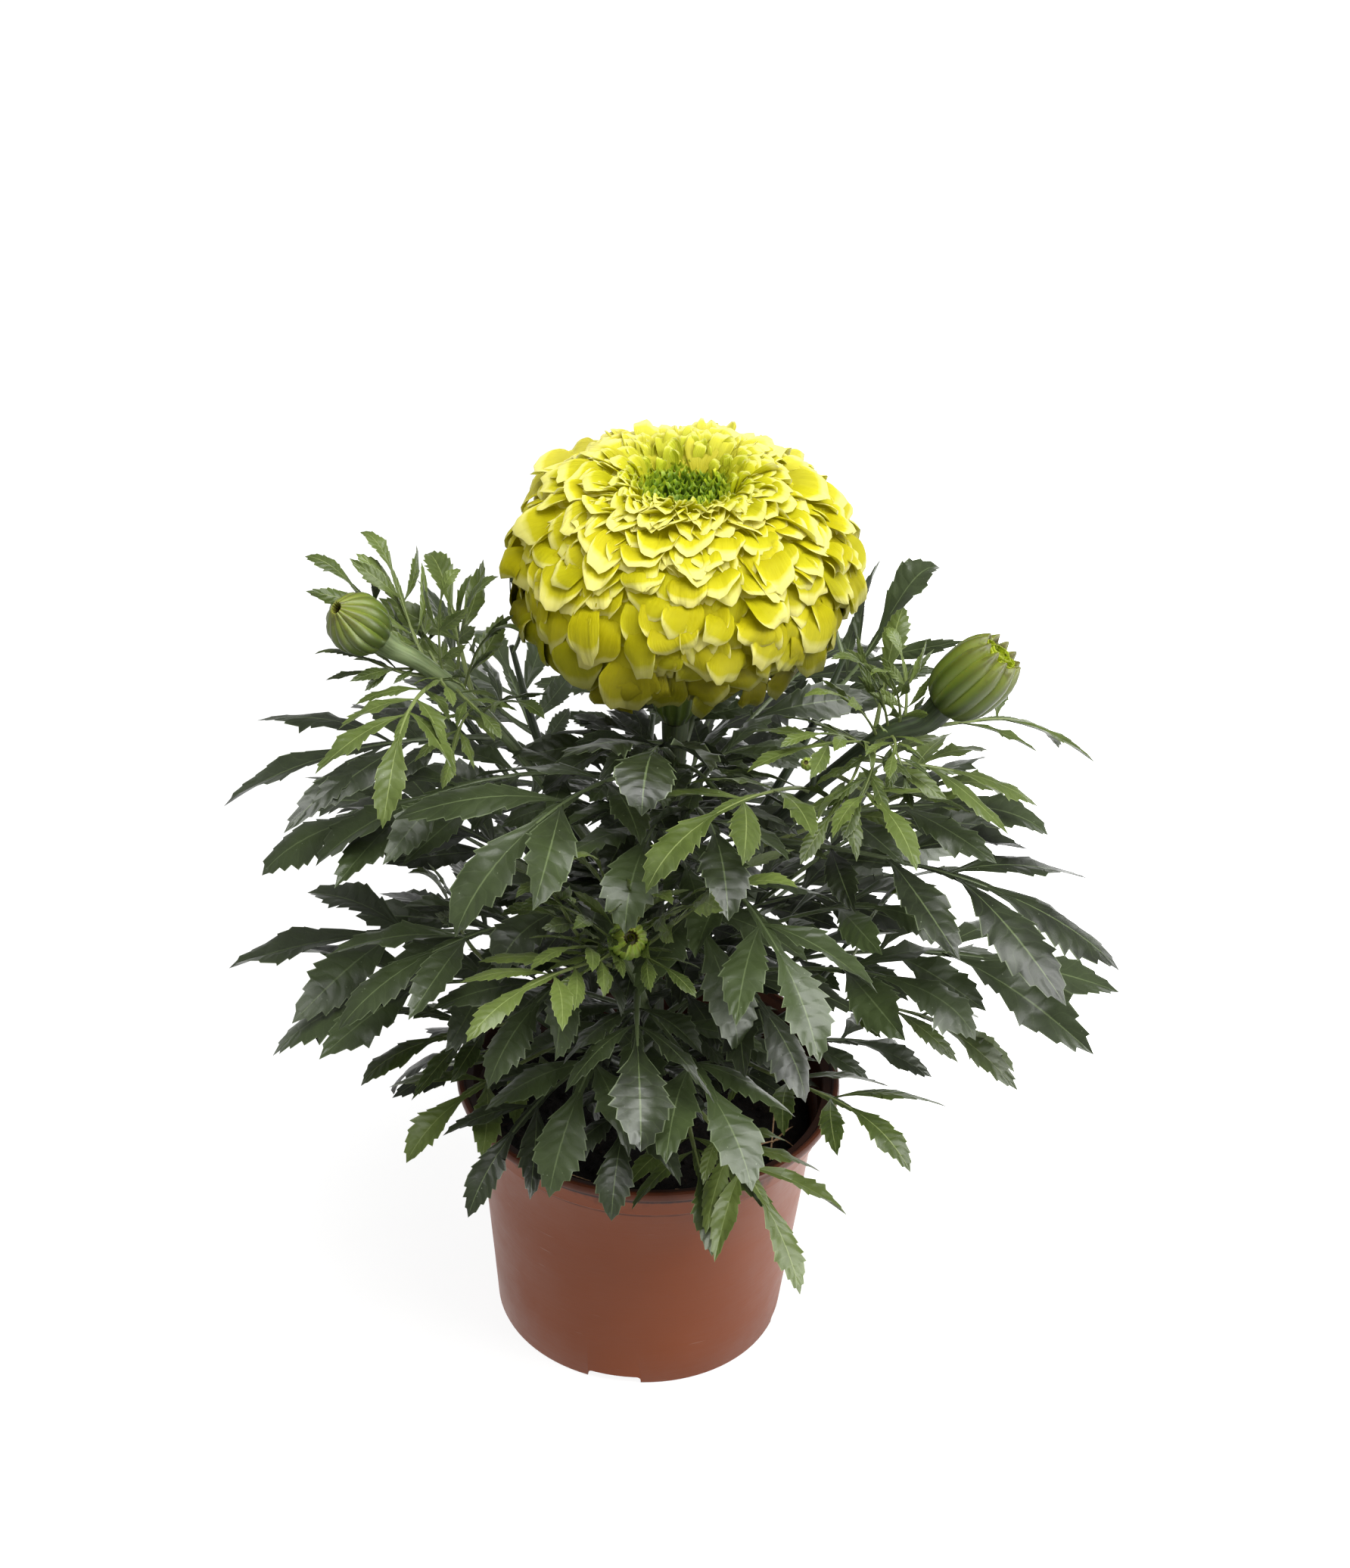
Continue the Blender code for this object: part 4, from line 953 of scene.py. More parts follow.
def bend_blade(centre, heading, normal, half_width, corners, draw, lively=1.0):
    """Lay a flat template along a line: centre, heading and normal are at each corner."""
    s = corners[:, 0:1]
    u = corners[:, 1:2]
    twist = draw.uniform(-0.8, 0.8) * lively
    angle = twist * (s - 0.25)
    normal = unit(normal - heading * (heading * normal).sum(1, keepdims=True))
    across = np.cross(normal, heading)
    across, normal = (across * np.cos(angle) + normal * np.sin(angle),
                      normal * np.cos(angle) - across * np.sin(angle))
    fold = draw.uniform(0.10, 0.65)
    turn_down = draw.uniform(0.10, 0.50)
    ripple = draw.uniform(0.04, 0.13) * lively
    phase = draw.uniform(0, math.tau)
    waves = draw.uniform(2.0, 3.5) * math.tau
    lift = (fold * np.abs(u) - turn_down * u * u
            + ripple * np.sin(s * waves + phase + np.sign(u)) * u * u * 2) * half_width
    lift += corners[:, 2:3] * BLADE_THICKNESS
    bow = draw.uniform(-0.06, 0.06) * lively * (s * s) * half_width * 4
    return centre + across * (u * half_width + bow) + normal * lift


def side_leaflet(root, along, outward, face, angle, length, width, draw):
    """Bend a leaflet outwards from the stalk, the way its solid goes."""
    corners = ragged(LEAFLET[0], draw)
    s = corners[:, 0:1]
    # It starts a little above the leaf's plane, and bows forwards and down.
    start = (along * math.cos(angle) + outward * math.sin(angle)) * 0.97 + face * 0.22
    bend = along * 0.16 - face * 0.34
    centre = root + (start + bend * s) * length * s
    heading = unit(start + bend * 2 * s)
    across = unit(along - heading * (heading @ along)[:, None])
    normal = np.cross(heading, across)
    normal = normal * np.sign((normal @ face)[:, None])
    return bend_blade(centre, heading, normal, width / 2, corners, draw)


print("blade thickness mm:", BLADE_THICKNESS)

# %% [markdown]
# ## A whole leaf
# A marigold's leaf has a thin stalk with a narrow wing of blade along it, side leaflets in
# pairs that get smaller towards the stem, and one leaflet at the end. They are set out from
# the end backwards, because the tip is the place that the solid gives, and where the stalk is
# long enough, small extra pairs fill it down to the stem.

# %% Build a whole leaf
# In millimetres: the wing along the stalk of a leaf whose end leaflet is 40 long, and the
# spacing of the extra pairs near the stem.
WING_WIDTH = 1.9
WING_REACH = 40
BASAL_SPACING = 12.0
MOST_PAIRS = 4
# The stalk thins to this share of its radius. It runs this far into the end leaflet, and the
# wing this far.
STALK_TAPER = 0.42
STALK_OVERLAP = 0.05
WING_OVERLAP = 0.3
STALK_STEPS = 14
# A side leaflet is at most this much wider than the room between its neighbours.
MOST_BREADTH = 1.6
# Leaflet widths, as shares of the length, are drawn a fifth of the way to their mean.
MEAN_WIDTH = 0.30
WIDTH_SPREAD = 0.8


def stalk(line_points, radii, sides=6):
    """A tapering tube along points: its corners, faces and pattern coordinates."""
    line_points = np.array(line_points)
    slopes = unit(np.gradient(line_points, axis=0))
    side = unit(np.cross(slopes, UP))
    across = np.cross(side, slopes)
    rings = []
    for place, one, two, radius in zip(line_points, side, across, radii):
        turn = np.arange(sides)[:, None] * math.tau / sides
        rings.append(place + one * np.cos(turn) * radius + two * np.sin(turn) * radius * 0.8)
    faces = [tuple(range(sides))[::-1]]
    for ring in range(len(line_points) - 1):
        for corner in range(sides):
            other = (corner + 1) % sides
            low = ring * sides
            faces.append((low + corner, low + other, low + sides + other, low + sides + corner))
    faces.append(tuple((len(line_points) - 1) * sides + corner for corner in range(sides)))
    loops = sum(map(len, faces))
    return np.concatenate(rings), faces, np.tile((0.5, 0.5), (loops, 1))


def grow(sheaf, leaf, draw, fullness, stalk_radius):
    """Add one compound leaf to a sheaf: its stalk, side leaflets and end leaflet."""
    line, pairs, reach = leaf["line"], leaf["pairs"], leaf["reach"]
    chord = np.linalg.norm(line[3] - line[0])
    end_start = 1 - reach / chord
    root_half = LEAFLET_ROOT / 2 / chord
    last_pair = end_start - END_STALK / chord - root_half
    step = min((last_pair - FIRST_PAIR) / max(pairs - 1, 1), PAIR_SPACING / chord)
    tone = draw.uniform(0.0, 1.0)

    stops = np.linspace(0.0, end_start + STALK_OVERLAP, STALK_STEPS)
    places = bezier(line, stops)
    if np.linalg.norm(places[0] - leaf["foot"]) > 0.01:
        places = np.vstack((leaf["foot"], places))
    radii = np.linspace(stalk_radius, stalk_radius * STALK_TAPER, len(places))
    sheaf.add(*stalk(places, radii), tone)

    corners = ragged(LEAFLET[0], draw)
    place, along, side, face = leaf_frame(line, end_start + (1 - end_start) * corners[:, 0])
    share = (MEAN_WIDTH + (leaf["width"] - MEAN_WIDTH) * WIDTH_SPREAD) * fullness
    end = bend_blade(place, along, face, reach * share / 2, corners, draw, 0.7)
    sheaf.add(end, LEAFLET[1], LEAFLET[2], tone)

    corners = LEAFLET[0]
    wing_start = last_pair - step * min(1, pairs - 1)
    wing_end = end_start + (1 - end_start) * WING_OVERLAP
    place, along, side, face = leaf_frame(line, wing_start + (wing_end - wing_start) * corners[:, 0])
    wing = bend_blade(place, along, face, WING_WIDTH * reach / WING_REACH, corners, draw, 0.3)
    sheaf.add(wing, LEAFLET[1], LEAFLET[2], tone)

    stations = [last_pair - step * number for number in range(pairs)]
    while stations[-1] * chord > 2 * BASAL_SPACING and len(stations) < MOST_PAIRS:
        stations.append(stations[-1] - BASAL_SPACING / chord)
    for number, station in enumerate(stations):
        length = reach * SIDE_LENGTHS[number]
        angle = math.radians(SIDE_ANGLES[number])
        room = (step * chord if number < pairs else BASAL_SPACING) * math.sin(angle)
        width = min(length * share, room * MOST_BREADTH)
        for hand in (-1, 1):
            here = station + draw.uniform(-0.012, 0.012)
            place, along, side, face = (value[0] for value in leaf_frame(line, np.array([here])))
            lean = angle + draw.uniform(-0.24, 0.16)
            size = draw.uniform(0.84, 1.10)
            blade = side_leaflet(place, along, side * hand, face, lean, length * size, width * size, draw)
            sheaf.add(blade, LEAFLET[1], LEAFLET[2], tone + draw.uniform(-0.15, 0.15))


print("most leaflets on a leaf:", 2 * MOST_PAIRS + 1)

# %% [markdown]
# ## Leaf tissue
# A leaf gives the eye three things: a green body colour from its pigment, a greyish gloss
# from its waxy skin, and paler ribs. The mature leaves are a deep grey green and the young
# ones a bright yellow green, so they share one recipe. Seven side veins lean forward from each
# side of a leaflet's rib, 3 to 7 mm apart, and the tissue swells between them, which the bump
# draws from the leaf's own pattern coordinates. Tiny pale glands, 0.3 mm wide and some 3 mm
# apart, dot the blade.


# %% Finishes of the leaves
def leaf_tissue(name, dark, light, rib, edge, roughness, specular, through):
    """A leaf's finish: body colour by tone, veins and edge by pattern, glands by cells."""
    material, tree, shader = new_finish(name, {
        "Roughness": roughness, "IOR": 1.45, "Specular IOR Level": specular,
        "Subsurface Weight": through, "Subsurface Scale": 0.0012,
        "Subsurface Radius": (0.6, 1.0, 0.25)})
    uv = add_node(tree, "UVMap", {"uv_map": "pattern"})
    parts = add_node(tree, "SeparateXYZ", None, {0: uv.outputs[0]})
    place = add_node(tree, "TexCoord")
    tone = add_node(tree, "Attribute", {"attribute_name": "tone"})

    off_rib = add_node(tree, "Math", {"operation": "SUBTRACT", 1: 0.5}, {0: parts.outputs[1]})
    across = add_node(tree, "Math", {"operation": "ABSOLUTE"}, {0: off_rib.outputs[0]})
    lean = add_node(tree, "Math", {"operation": "MULTIPLY", 1: 2.4}, {0: across.outputs[0]})
    wander = add_node(tree, "TexNoise", {"Scale": 110.0, "Detail": 1.0},
                      {"Vector": place.outputs["Object"]})
    rows = add_node(tree, "Math", {"operation": "MULTIPLY_ADD", 1: 7.0}, {0: parts.outputs[0],
                                                                       2: wander.outputs[0]})
    phase = add_node(tree, "Math", {"operation": "SUBTRACT"}, {0: rows.outputs[0], 1: lean.outputs[0]})
    wave = add_node(tree, "Math", {"operation": "PINGPONG", 1: 0.5}, {0: phase.outputs[0]})
    vein = add_node(tree, "MapRange", {1: 0.0, 2: 0.06, 3: 1.0, 4: 0.0,
                                       "interpolation_type": "SMOOTHSTEP"}, {0: wave.outputs[0]})
    midrib = add_node(tree, "MapRange", {1: 0.008, 2: 0.026, 3: 1.0, 4: 0.0,
                                         "interpolation_type": "SMOOTHSTEP"}, {0: across.outputs[0]})
    margin = add_node(tree, "MapRange", {1: 0.465, 2: 0.495, 3: 0.0, 4: 1.0}, {0: across.outputs[0]})

    clouds = add_node(tree, "TexNoise", {"Scale": 90.0, "Detail": 4.0, "Roughness": 0.6},
                      {"Vector": place.outputs["Object"]})
    blend = add_node(tree, "Math", {"operation": "MULTIPLY_ADD", 1: 0.9, 2: -0.28},
                     {0: clouds.outputs[0]})
    shade = add_node(tree, "Math", {"operation": "MULTIPLY_ADD", 1: 0.7}, {0: tone.outputs["Fac"],
                                                                         2: blend.outputs[0]})
    body = add_node(tree, "ValToRGB", None, {0: shade.outputs[0]},
                    ((0.10, linear(dark)), (0.90, linear(light))))
    vein_share = add_node(tree, "Math", {"operation": "MULTIPLY", 1: 0.09}, {0: vein.outputs[0]})
    veined = add_node(tree, "Mix", {"data_type": "RGBA", 7: linear(rib)},
                      {0: vein_share.outputs[0], 6: body.outputs[0]})
    rib_share = add_node(tree, "Math", {"operation": "MULTIPLY", 1: 0.55}, {0: midrib.outputs[0]})
    ribbed = add_node(tree, "Mix", {"data_type": "RGBA", 7: linear(rib)},
                      {0: rib_share.outputs[0], 6: veined.outputs[2]})
    edge_share = add_node(tree, "Math", {"operation": "MULTIPLY", 1: 0.5}, {0: margin.outputs[0]})
    edged = add_node(tree, "Mix", {"data_type": "RGBA", 7: linear(edge)},
                     {0: edge_share.outputs[0], 6: ribbed.outputs[2]})
    cells = add_node(tree, "TexVoronoi", {"Scale": 330.0, "Randomness": 1.0},
                     {"Vector": place.outputs["Object"]})
    glands = add_node(tree, "MapRange", {1: 0.04, 2: 0.07, 3: 0.35, 4: 0.0}, {0: cells.outputs["Distance"]})
    dotted = add_node(tree, "Mix", {"data_type": "RGBA", 7: linear("#9aa688")},
                      {0: glands.outputs[0], 6: edged.outputs[2]})
    tree.links.new(dotted.outputs[2], shader.inputs["Base Color"])

    swell = add_node(tree, "MapRange", {1: 0.0, 2: 0.5, 3: 0.0, 4: 1.0,
                                        "interpolation_type": "SMOOTHSTEP"}, {0: wave.outputs[0]})
    relief = add_node(tree, "Math", {"operation": "MULTIPLY_ADD", 1: 0.5},
                      {0: clouds.outputs[0], 2: swell.outputs[0]})
    bump = add_node(tree, "Bump", {"Strength": 0.20, "Distance": 0.0006},
                    {"Height": relief.outputs[0]})
    fine = add_node(tree, "TexNoise", {"Scale": 1400.0, "Detail": 2.0},
                    {"Vector": place.outputs["Object"]})
    skin = add_node(tree, "Bump", {"Strength": 0.25, "Distance": 0.0001},
                    {"Height": fine.outputs[0], "Normal": bump.outputs[0]})
    tree.links.new(skin.outputs[0], shader.inputs["Normal"])
    return material


mature_tissue = leaf_tissue("mature_leaf_tissue", "#191f0f", "#3a4626", "#66744c", "#76835f",
                            0.40, 0.55, 0.0)
young_tissue = leaf_tissue("young_leaf_tissue", "#2f3b15", "#5a6830", "#8a965c", "#8a965c",
                           0.42, 0.45, 0.05)
print("leaf finishes:", mature_tissue.name, young_tissue.name)

# %% Grow the mature leaves
MATURE_FULLNESS = 1.12
MATURE_STALK = 1.25
for number, (name, *_) in enumerate(LEAVES):
    draw = random.Random(100 + number)
    sheaf = Sheaf()
    grow(sheaf, leaves[name][0], draw, MATURE_FULLNESS, MATURE_STALK)
    piece = sheaf.make(name + "_blade", mature_tissue)
    settle(piece, name + "_blade", name, smooth=55)
print("mature leaves:", len(LEAVES), "faces in the last:", len(piece.data.polygons))

# %% [markdown]
# ## Young leaves
# Near each bud the stem carries bright young leaves, and right below it a crowd of small ones,
# still unfolding. The large ones follow the solids. The small ones are too fine for a solid:
# they are the same leaf at about half the size, each from its stem to a tip beside the bud.
# The sprays at the back have turned as dark as the mature leaves.

# %% Grow the young leaves
YOUNG_FULLNESS = 0.95
YOUNG_STALK = 0.95
SMALL_STALK = 0.6
SMALL_REACH = 0.46
SMALL_WIDTH = 0.26
SMALL_DROOP = math.radians(15)
# Small leaves: how far along the stem, and the tip.
SMALL_LEAVES = {
    "branch_front": (
        (0.84, (-38, -74, 204)), (0.80, (-24, -70, 219)), (0.88, (5, -79, 212)),
        (0.76, (13, -84, 184)), (0.70, (-34, -86, 192)), (0.74, (22, -72, 205)),
        (0.92, (-27, -84, 181)), (0.66, (-44, -66, 196)),
    ),
    "branch_right": (
        (0.62, (39, -36, 255)), (0.66, (46, -30, 264)), (0.70, (57, -34, 262)),
        (0.58, (33, -44, 243)), (0.66, (64, -50, 238)), (0.72, (62, -8, 262)),
        (0.60, (24, -50, 238)), (0.64, (72, -44, 224)), (0.68, (84, -8, 240)),
        (0.60, (52, -58, 222)), (0.56, (40, -62, 216)),
    ),
    "branch_left": (
        (0.68, (-106, 6, 268)), (0.64, (-90, 8, 276)), (0.60, (-60, -4, 272)),
        (0.54, (-42, -20, 262)), (0.60, (-60, -36, 246)), (0.56, (-46, -36, 236)),
        (0.50, (-62, -42, 222)), (0.48, (-34, -34, 242)), (0.64, (-98, -16, 240)),
        (0.58, (-80, 20, 246)),
    ),
}


def small_leaf(stem, t, tip):
    """A leaf's middle line from its stem to a tip, drooping a little."""
    middle, stem_along = on_stem(STEMS[stem][0], t)
    away = np.array(tip, float) - middle
    chord = np.linalg.norm(away)
    outset = unit(unit(away) + stem_along * 0.5)
    return {"line": leaf_line(middle, outset, middle + away, SMALL_DROOP), "pairs": 2,
            "reach": chord * SMALL_REACH, "width": SMALL_WIDTH, "foot": middle}


for number, (stem, grown) in enumerate(YOUNG_LEAVES.items()):
    draw = random.Random(300 + number)
    sheaf = Sheaf()
    for leaf in leaves[stem]:
        grow(sheaf, leaf, draw, YOUNG_FULLNESS, YOUNG_STALK)
    for t, tip in SMALL_LEAVES.get(stem, ()):
        grow(sheaf, small_leaf(stem, t, tip), draw, YOUNG_FULLNESS, SMALL_STALK)
    name = stem.replace("branch", "spray")
    piece = sheaf.make(name, mature_tissue if "back" in stem else young_tissue)
    settle(piece, name, stem, smooth=55)
print("sprays of young leaves:", len(YOUNG_LEAVES), "small leaves:", sum(map(len, SMALL_LEAVES.values())))

# %% [markdown]
# ## Leaves deep in the plant
# A dense plant hides its stem behind short, shaded leaves. They are grown like the others,
# turning 137.5 degrees from one to the next as leaves do, and they stay well inside the
# outline that the solids give.

# %% Grow the inner leaves
GOLDEN_ANGLE = math.radians(137.5)
INNER_LEAVES = 34
INNER_FROM = 0.22
INNER_TO = 0.97
INNER_REACH = 27.0
INNER_WIDTH = 0.34
INNER_STALK = 1.0
INNER_DROOP = math.radians(40)
draw = random.Random(77)
sheaf = Sheaf()
for number in range(INNER_LEAVES):
    t = INNER_FROM + (INNER_TO - INNER_FROM) * number / INNER_LEAVES
    middle, stem_along = on_stem(STEMS["stem_main"][0], t)
    azimuth = number * GOLDEN_ANGLE
    away = np.array((math.cos(azimuth), math.sin(azimuth), 0.0))
    tip = middle + away * draw.uniform(42, 56) + UP * draw.uniform(-8, 10)
    line = leaf_line(middle + away * 3, unit(away * 0.75 + stem_along * 0.5), tip, INNER_DROOP)
    grow(sheaf, {"line": line, "pairs": 2, "reach": INNER_REACH, "width": INNER_WIDTH,
                 "foot": middle}, draw, MATURE_FULLNESS, INNER_STALK)
inner_leaves = sheaf.make("leaves_inner", mature_tissue)
settle(inner_leaves, "leaves_inner", "stem_main", smooth=55)
print("inner leaves:", INNER_LEAVES)

# %% [markdown]
# ## Petal tissue
# A marigold's petals are soft and thin, lemon yellow where light falls on them and a deeper,
# greener yellow where light has passed through several of them. That comes from a wide soft
# gloss, light that scatters inside, and a base colour that pales towards the petal's end and
# darkens towards its foot, partly as painted shade. The colour is also darkened towards the
# bloom's underside as painted shade, and the petals on the far side are painted paler, as
# painted light. Fine veins run along each petal, about 1 mm apart, and the tone turns the
# petals near the middle lime green. The open upper petals hand light on to each other, so
# that their gaps aren't black; a faint glow of their own stands for that.

# %% Finish of the petals
petal_tissue, tree, shader = new_finish("lemon_petal_tissue", {
    "Roughness": 0.6, "IOR": 1.28, "Specular IOR Level": 0.14,
    "Subsurface Weight": 0.45, "Subsurface Scale": 0.0010, "Subsurface Radius": (0.9, 1.0, 0.5)})
uv = add_node(tree, "UVMap", {"uv_map": "pattern"})
place = add_node(tree, "TexCoord")
tone = add_node(tree, "Attribute", {"attribute_name": "tone"})
lines = add_node(tree, "Mapping", {"Scale": (1.6, 13.0, 1.0)}, {"Vector": uv.outputs[0]})
veins = add_node(tree, "TexNoise", {"Scale": 1.0, "Detail": 2.0, "Roughness": 0.5},
                 {"Vector": lines.outputs[0]})
soft = add_node(tree, "TexNoise", {"Scale": 120.0, "Detail": 3.0},
                {"Vector": place.outputs["Object"]})
parts = add_node(tree, "SeparateXYZ", None, {0: uv.outputs[0]})
outward = add_node(tree, "Math", {"operation": "MULTIPLY_ADD", 1: 0.3},
                   {0: soft.outputs[0], 2: parts.outputs[0]})
# The ramp pales towards the petal's end and darkens towards its foot: partly the petal's own colour, partly
# painted shade.
flesh_and_foot_shade = add_node(tree, "ValToRGB", None, {0: outward.outputs[0]},
                 ((0.60, linear("#938b08")), (0.88, linear("#aea61c")), (1.24, linear("#cdc770"))))
height = add_node(tree, "SeparateXYZ", None, {0: place.outputs["Object"]})
# Painted shade: the colour darkens towards the bloom's underside.
under = add_node(tree, "MapRange", {1: 0.240, 2: 0.278, 3: 1.0, 4: 0.0}, {0: height.outputs[2]})
# Painted light: the petals on the far side are painted paler.
far_side_painted_light = add_node(tree, "MapRange", {1: 0.0, 2: 0.028, 3: 0.0, 4: 0.15}, {0: height.outputs[1]})
paler = add_node(tree, "Mix", {"data_type": "RGBA", 7: linear("#eee99a")},
                 {0: far_side_painted_light.outputs[0], 6: flesh_and_foot_shade.outputs[0]})
lemon = add_node(tree, "Mix", {"data_type": "RGBA", "blend_type": "MULTIPLY", 7: linear("#50540e")},
                 {0: under.outputs[0], 6: paler.outputs[2]})
ageing = add_node(tree, "ValToRGB", None, {0: tone.outputs["Fac"]}, ((0.0, BLACK), (1.0, WHITE)))
limed = add_node(tree, "Mix", {"data_type": "RGBA", 7: linear("#8fa31a")},
                 {0: ageing.outputs[0], 6: lemon.outputs[2]})
tree.links.new(limed.outputs[2], shader.inputs["Base Color"])
shader.inputs["Emission Color"].default_value = linear("#b4a800")
glow = add_node(tree, "MapRange", {1: 0.262, 2: 0.290, 3: 0.0, 4: 0.13}, {0: height.outputs[2]})
tree.links.new(glow.outputs[0], shader.inputs["Emission Strength"])
bump = add_node(tree, "Bump", {"Strength": 0.6, "Distance": 0.0006}, {"Height": veins.outputs[0]})
tree.links.new(bump.outputs[0], shader.inputs["Normal"])
print("petal finish:", petal_tissue.name)

# %% [markdown]
# ## One petal
# A petal is a narrow claw that widens to a broad, round, frilled end. It is a grid again, with
# its rows close together near the end, where it bends most, and its columns close together at
# the edges. The end is rounded off when it is placed, because a broad petal has to be rounded
# over more of its length than a narrow one.

# %% Model the petal
# Rows of the petal: place along it, and half width.
PETAL_ROWS = ((0.0, 0.16), (0.42, 0.36), (0.62, 0.76), (0.76, 0.95), (0.87, 1.0), (0.94, 1.0),
              (1.0, 0.97))
PETAL_COLUMNS = 10
PETAL = thick_template(PETAL_COLUMNS, PETAL_ROWS,
                       lambda u, s, half: (s, math.sin(u * math.pi / 2) * half, 0.0))
print("petal faces:", len(PETAL[1]))

# %% [markdown]
# ## The bloom's shape
# The bloom is a flattened ball with a hollow on top, and all its petals end on that shape. It
# is worked out from a ball's sine and cosine, because a power of them fills out the top and
# another draws in the underside. Each half has its own height.

# %% Measure the bloom
BLOOM_CENTRE = np.array((3.0, 0.0, 272.0))
BLOOM_RADIUS = 50.0
BLOOM_RISE = 37.0
BLOOM_DROP = 43.0
DIMPLE_EDGE = 38.0
DIMPLE_DEPTH = 0.22
TOP_POWER = 0.88
UNDER_POWER = 1.1


def bloom_point(angle, azimuth, grow):
    """Place on the bloom's outer shape, shrunk by grow; its top has a dimple."""
    sunk = max(0.0, 1 - math.degrees(angle) / DIMPLE_EDGE) ** 1.5 * DIMPLE_DEPTH
    flat = np.array((math.cos(azimuth), math.sin(azimuth), 0.0))
    power, height = (TOP_POWER, BLOOM_RISE) if math.cos(angle) > 0 else (UNDER_POWER, BLOOM_DROP)
    outward = math.sin(angle) ** power
    upward = math.copysign(abs(math.cos(angle)) ** power, math.cos(angle))
    return (BLOOM_CENTRE + flat * BLOOM_RADIUS * grow * outward
            + UP * height * (grow - sunk) * upward)


print("bloom mm:", 2 * BLOOM_RADIUS, "wide,", BLOOM_RISE + BLOOM_DROP, "tall")

# %% [markdown]
# ## Bending a petal
# Each petal starts on the core, goes outwards and ends on the outer shape, so that its round
# end lies like a tile on the next. Real petals are never flat: a draw cups or rolls each one
# across its width, twists it, waves its edge, curls its lip and rounds its end its own way.

# %% Bend a petal
PETAL_THICKNESS = 0.35
# Two points of every petal's line inside the bloom: degrees from the top, share of the
# shoulder's angle, and share of the bloom's size.
PETAL_ROOT = (10, 0.72, 0.55)
PETAL_RISE = (4, 0.9, 0.86)
# The shoulder lies a little inside the bloom's shape, and from these degrees from the top to
# those it comes to bulge out.
SHOULDER_SUNK = 0.04
SHOULDER_BULGE = 0.13
BULGE_FROM = 15
BULGE_TO = 95
# How far a tip sways aside and how far a petal twists, in radians.
TIP_SWAY = 0.17
PETAL_TWIST = 0.45
# The largest share of a petal that its end is rounded over, and the depth of the lobes in it.
MOST_ROUNDING = 0.26
LOBE_DEPTH = 0.08
# Where along the petal its lip starts to curl.
LIP_START = 0.7


def arc(bend, reach):
    """Roll a flat width into an arc: how far across and how far up each corner goes."""
    turn = bend * reach
    return reach * np.sinc(turn / math.pi), reach * np.sin(turn / 2) * np.sinc(turn / math.tau)


def add_petal(sheaf, tip_angle, azimuth, grow, width, hang, tone, cup, draw):
    """Bend one petal out from the core and over, so that its round end lies like a tile."""
    low = min(1.0, max(0.0, (math.degrees(tip_angle) - BULGE_FROM) / (BULGE_TO - BULGE_FROM)))
    knee = tip_angle - hang
    root, rise = (bloom_point(math.radians(start) + knee * share, azimuth, size)
                  for start, share, size in (PETAL_ROOT, PETAL_RISE))
    shoulder = bloom_point(knee, azimuth, grow - SHOULDER_SUNK + SHOULDER_BULGE * low)
    tip = bloom_point(tip_angle, azimuth + draw.uniform(-TIP_SWAY, TIP_SWAY), grow)
    curve = np.array((root, rise, shoulder, tip))
    corners = PETAL[0]
    u = corners[:, 1:2]
    rounding = min(MOST_ROUNDING, 0.95 * width / 2 / np.linalg.norm(tip - root))
    lobes = draw.uniform(4.0, 7.5)
    drawn_in = rounding * (1 - np.sqrt(1 - (0.995 * u[:, 0]) ** 2)) * corners[:, 0] ** 3
    wave = np.cos(u[:, 0] * lobes + draw.uniform(0, math.tau))
    notched = LOBE_DEPTH * rounding * wave * corners[:, 0] ** 6
    s = corners[:, 0] * (1 - drawn_in - notched - 0.10 * rounding)
    place = bezier(curve, s)
    heading = unit(bezier_slope(curve, s))
    across = np.array((-math.sin(azimuth), math.cos(azimuth), 0.0))
    across = unit(across - heading * (heading @ across)[:, None])
    normal = np.cross(heading, across)
    angle = draw.uniform(-PETAL_TWIST, PETAL_TWIST) * s[:, None] ** 2
    across, normal = (across * np.cos(angle) + normal * np.sin(angle),
                      normal * np.cos(angle) - across * np.sin(angle))
    aside, up = arc(cup * s[:, None] ** 2 * (1.2 - 0.5 * s[:, None] ** 3) + 0.001, u)
    frill = draw.uniform(0.10, 0.34) * s[:, None] ** 4
    phase = draw.uniform(0, math.tau)
    waves = draw.uniform(1.2, 3.0) * math.pi
    lip = draw.uniform(-0.8, 0.5) * np.maximum(0, s[:, None] - LIP_START) ** 2 * 7
    lift = up + frill * np.sin(u * waves + phase) * (0.5 + 0.6 * u * u) + lip
    points = (place - across * aside * width / 2
              + normal * (lift * width / 2 + corners[:, 2:3] * PETAL_THICKNESS))
    sheaf.add(points, PETAL[1], PETAL[2], tone)


print("petal thickness mm:", PETAL_THICKNESS)

# %% [markdown]
# ## The bloom
# The petals come in one long spiral, each 137.5 degrees on from the last, so no rings show. At
# the hollow's edge they are small, upright and rolled, and on the underside broad and hanging.
# Their widths and spacings say how many have room at each angle from the top, and a draw
# shifts and sizes each of them.

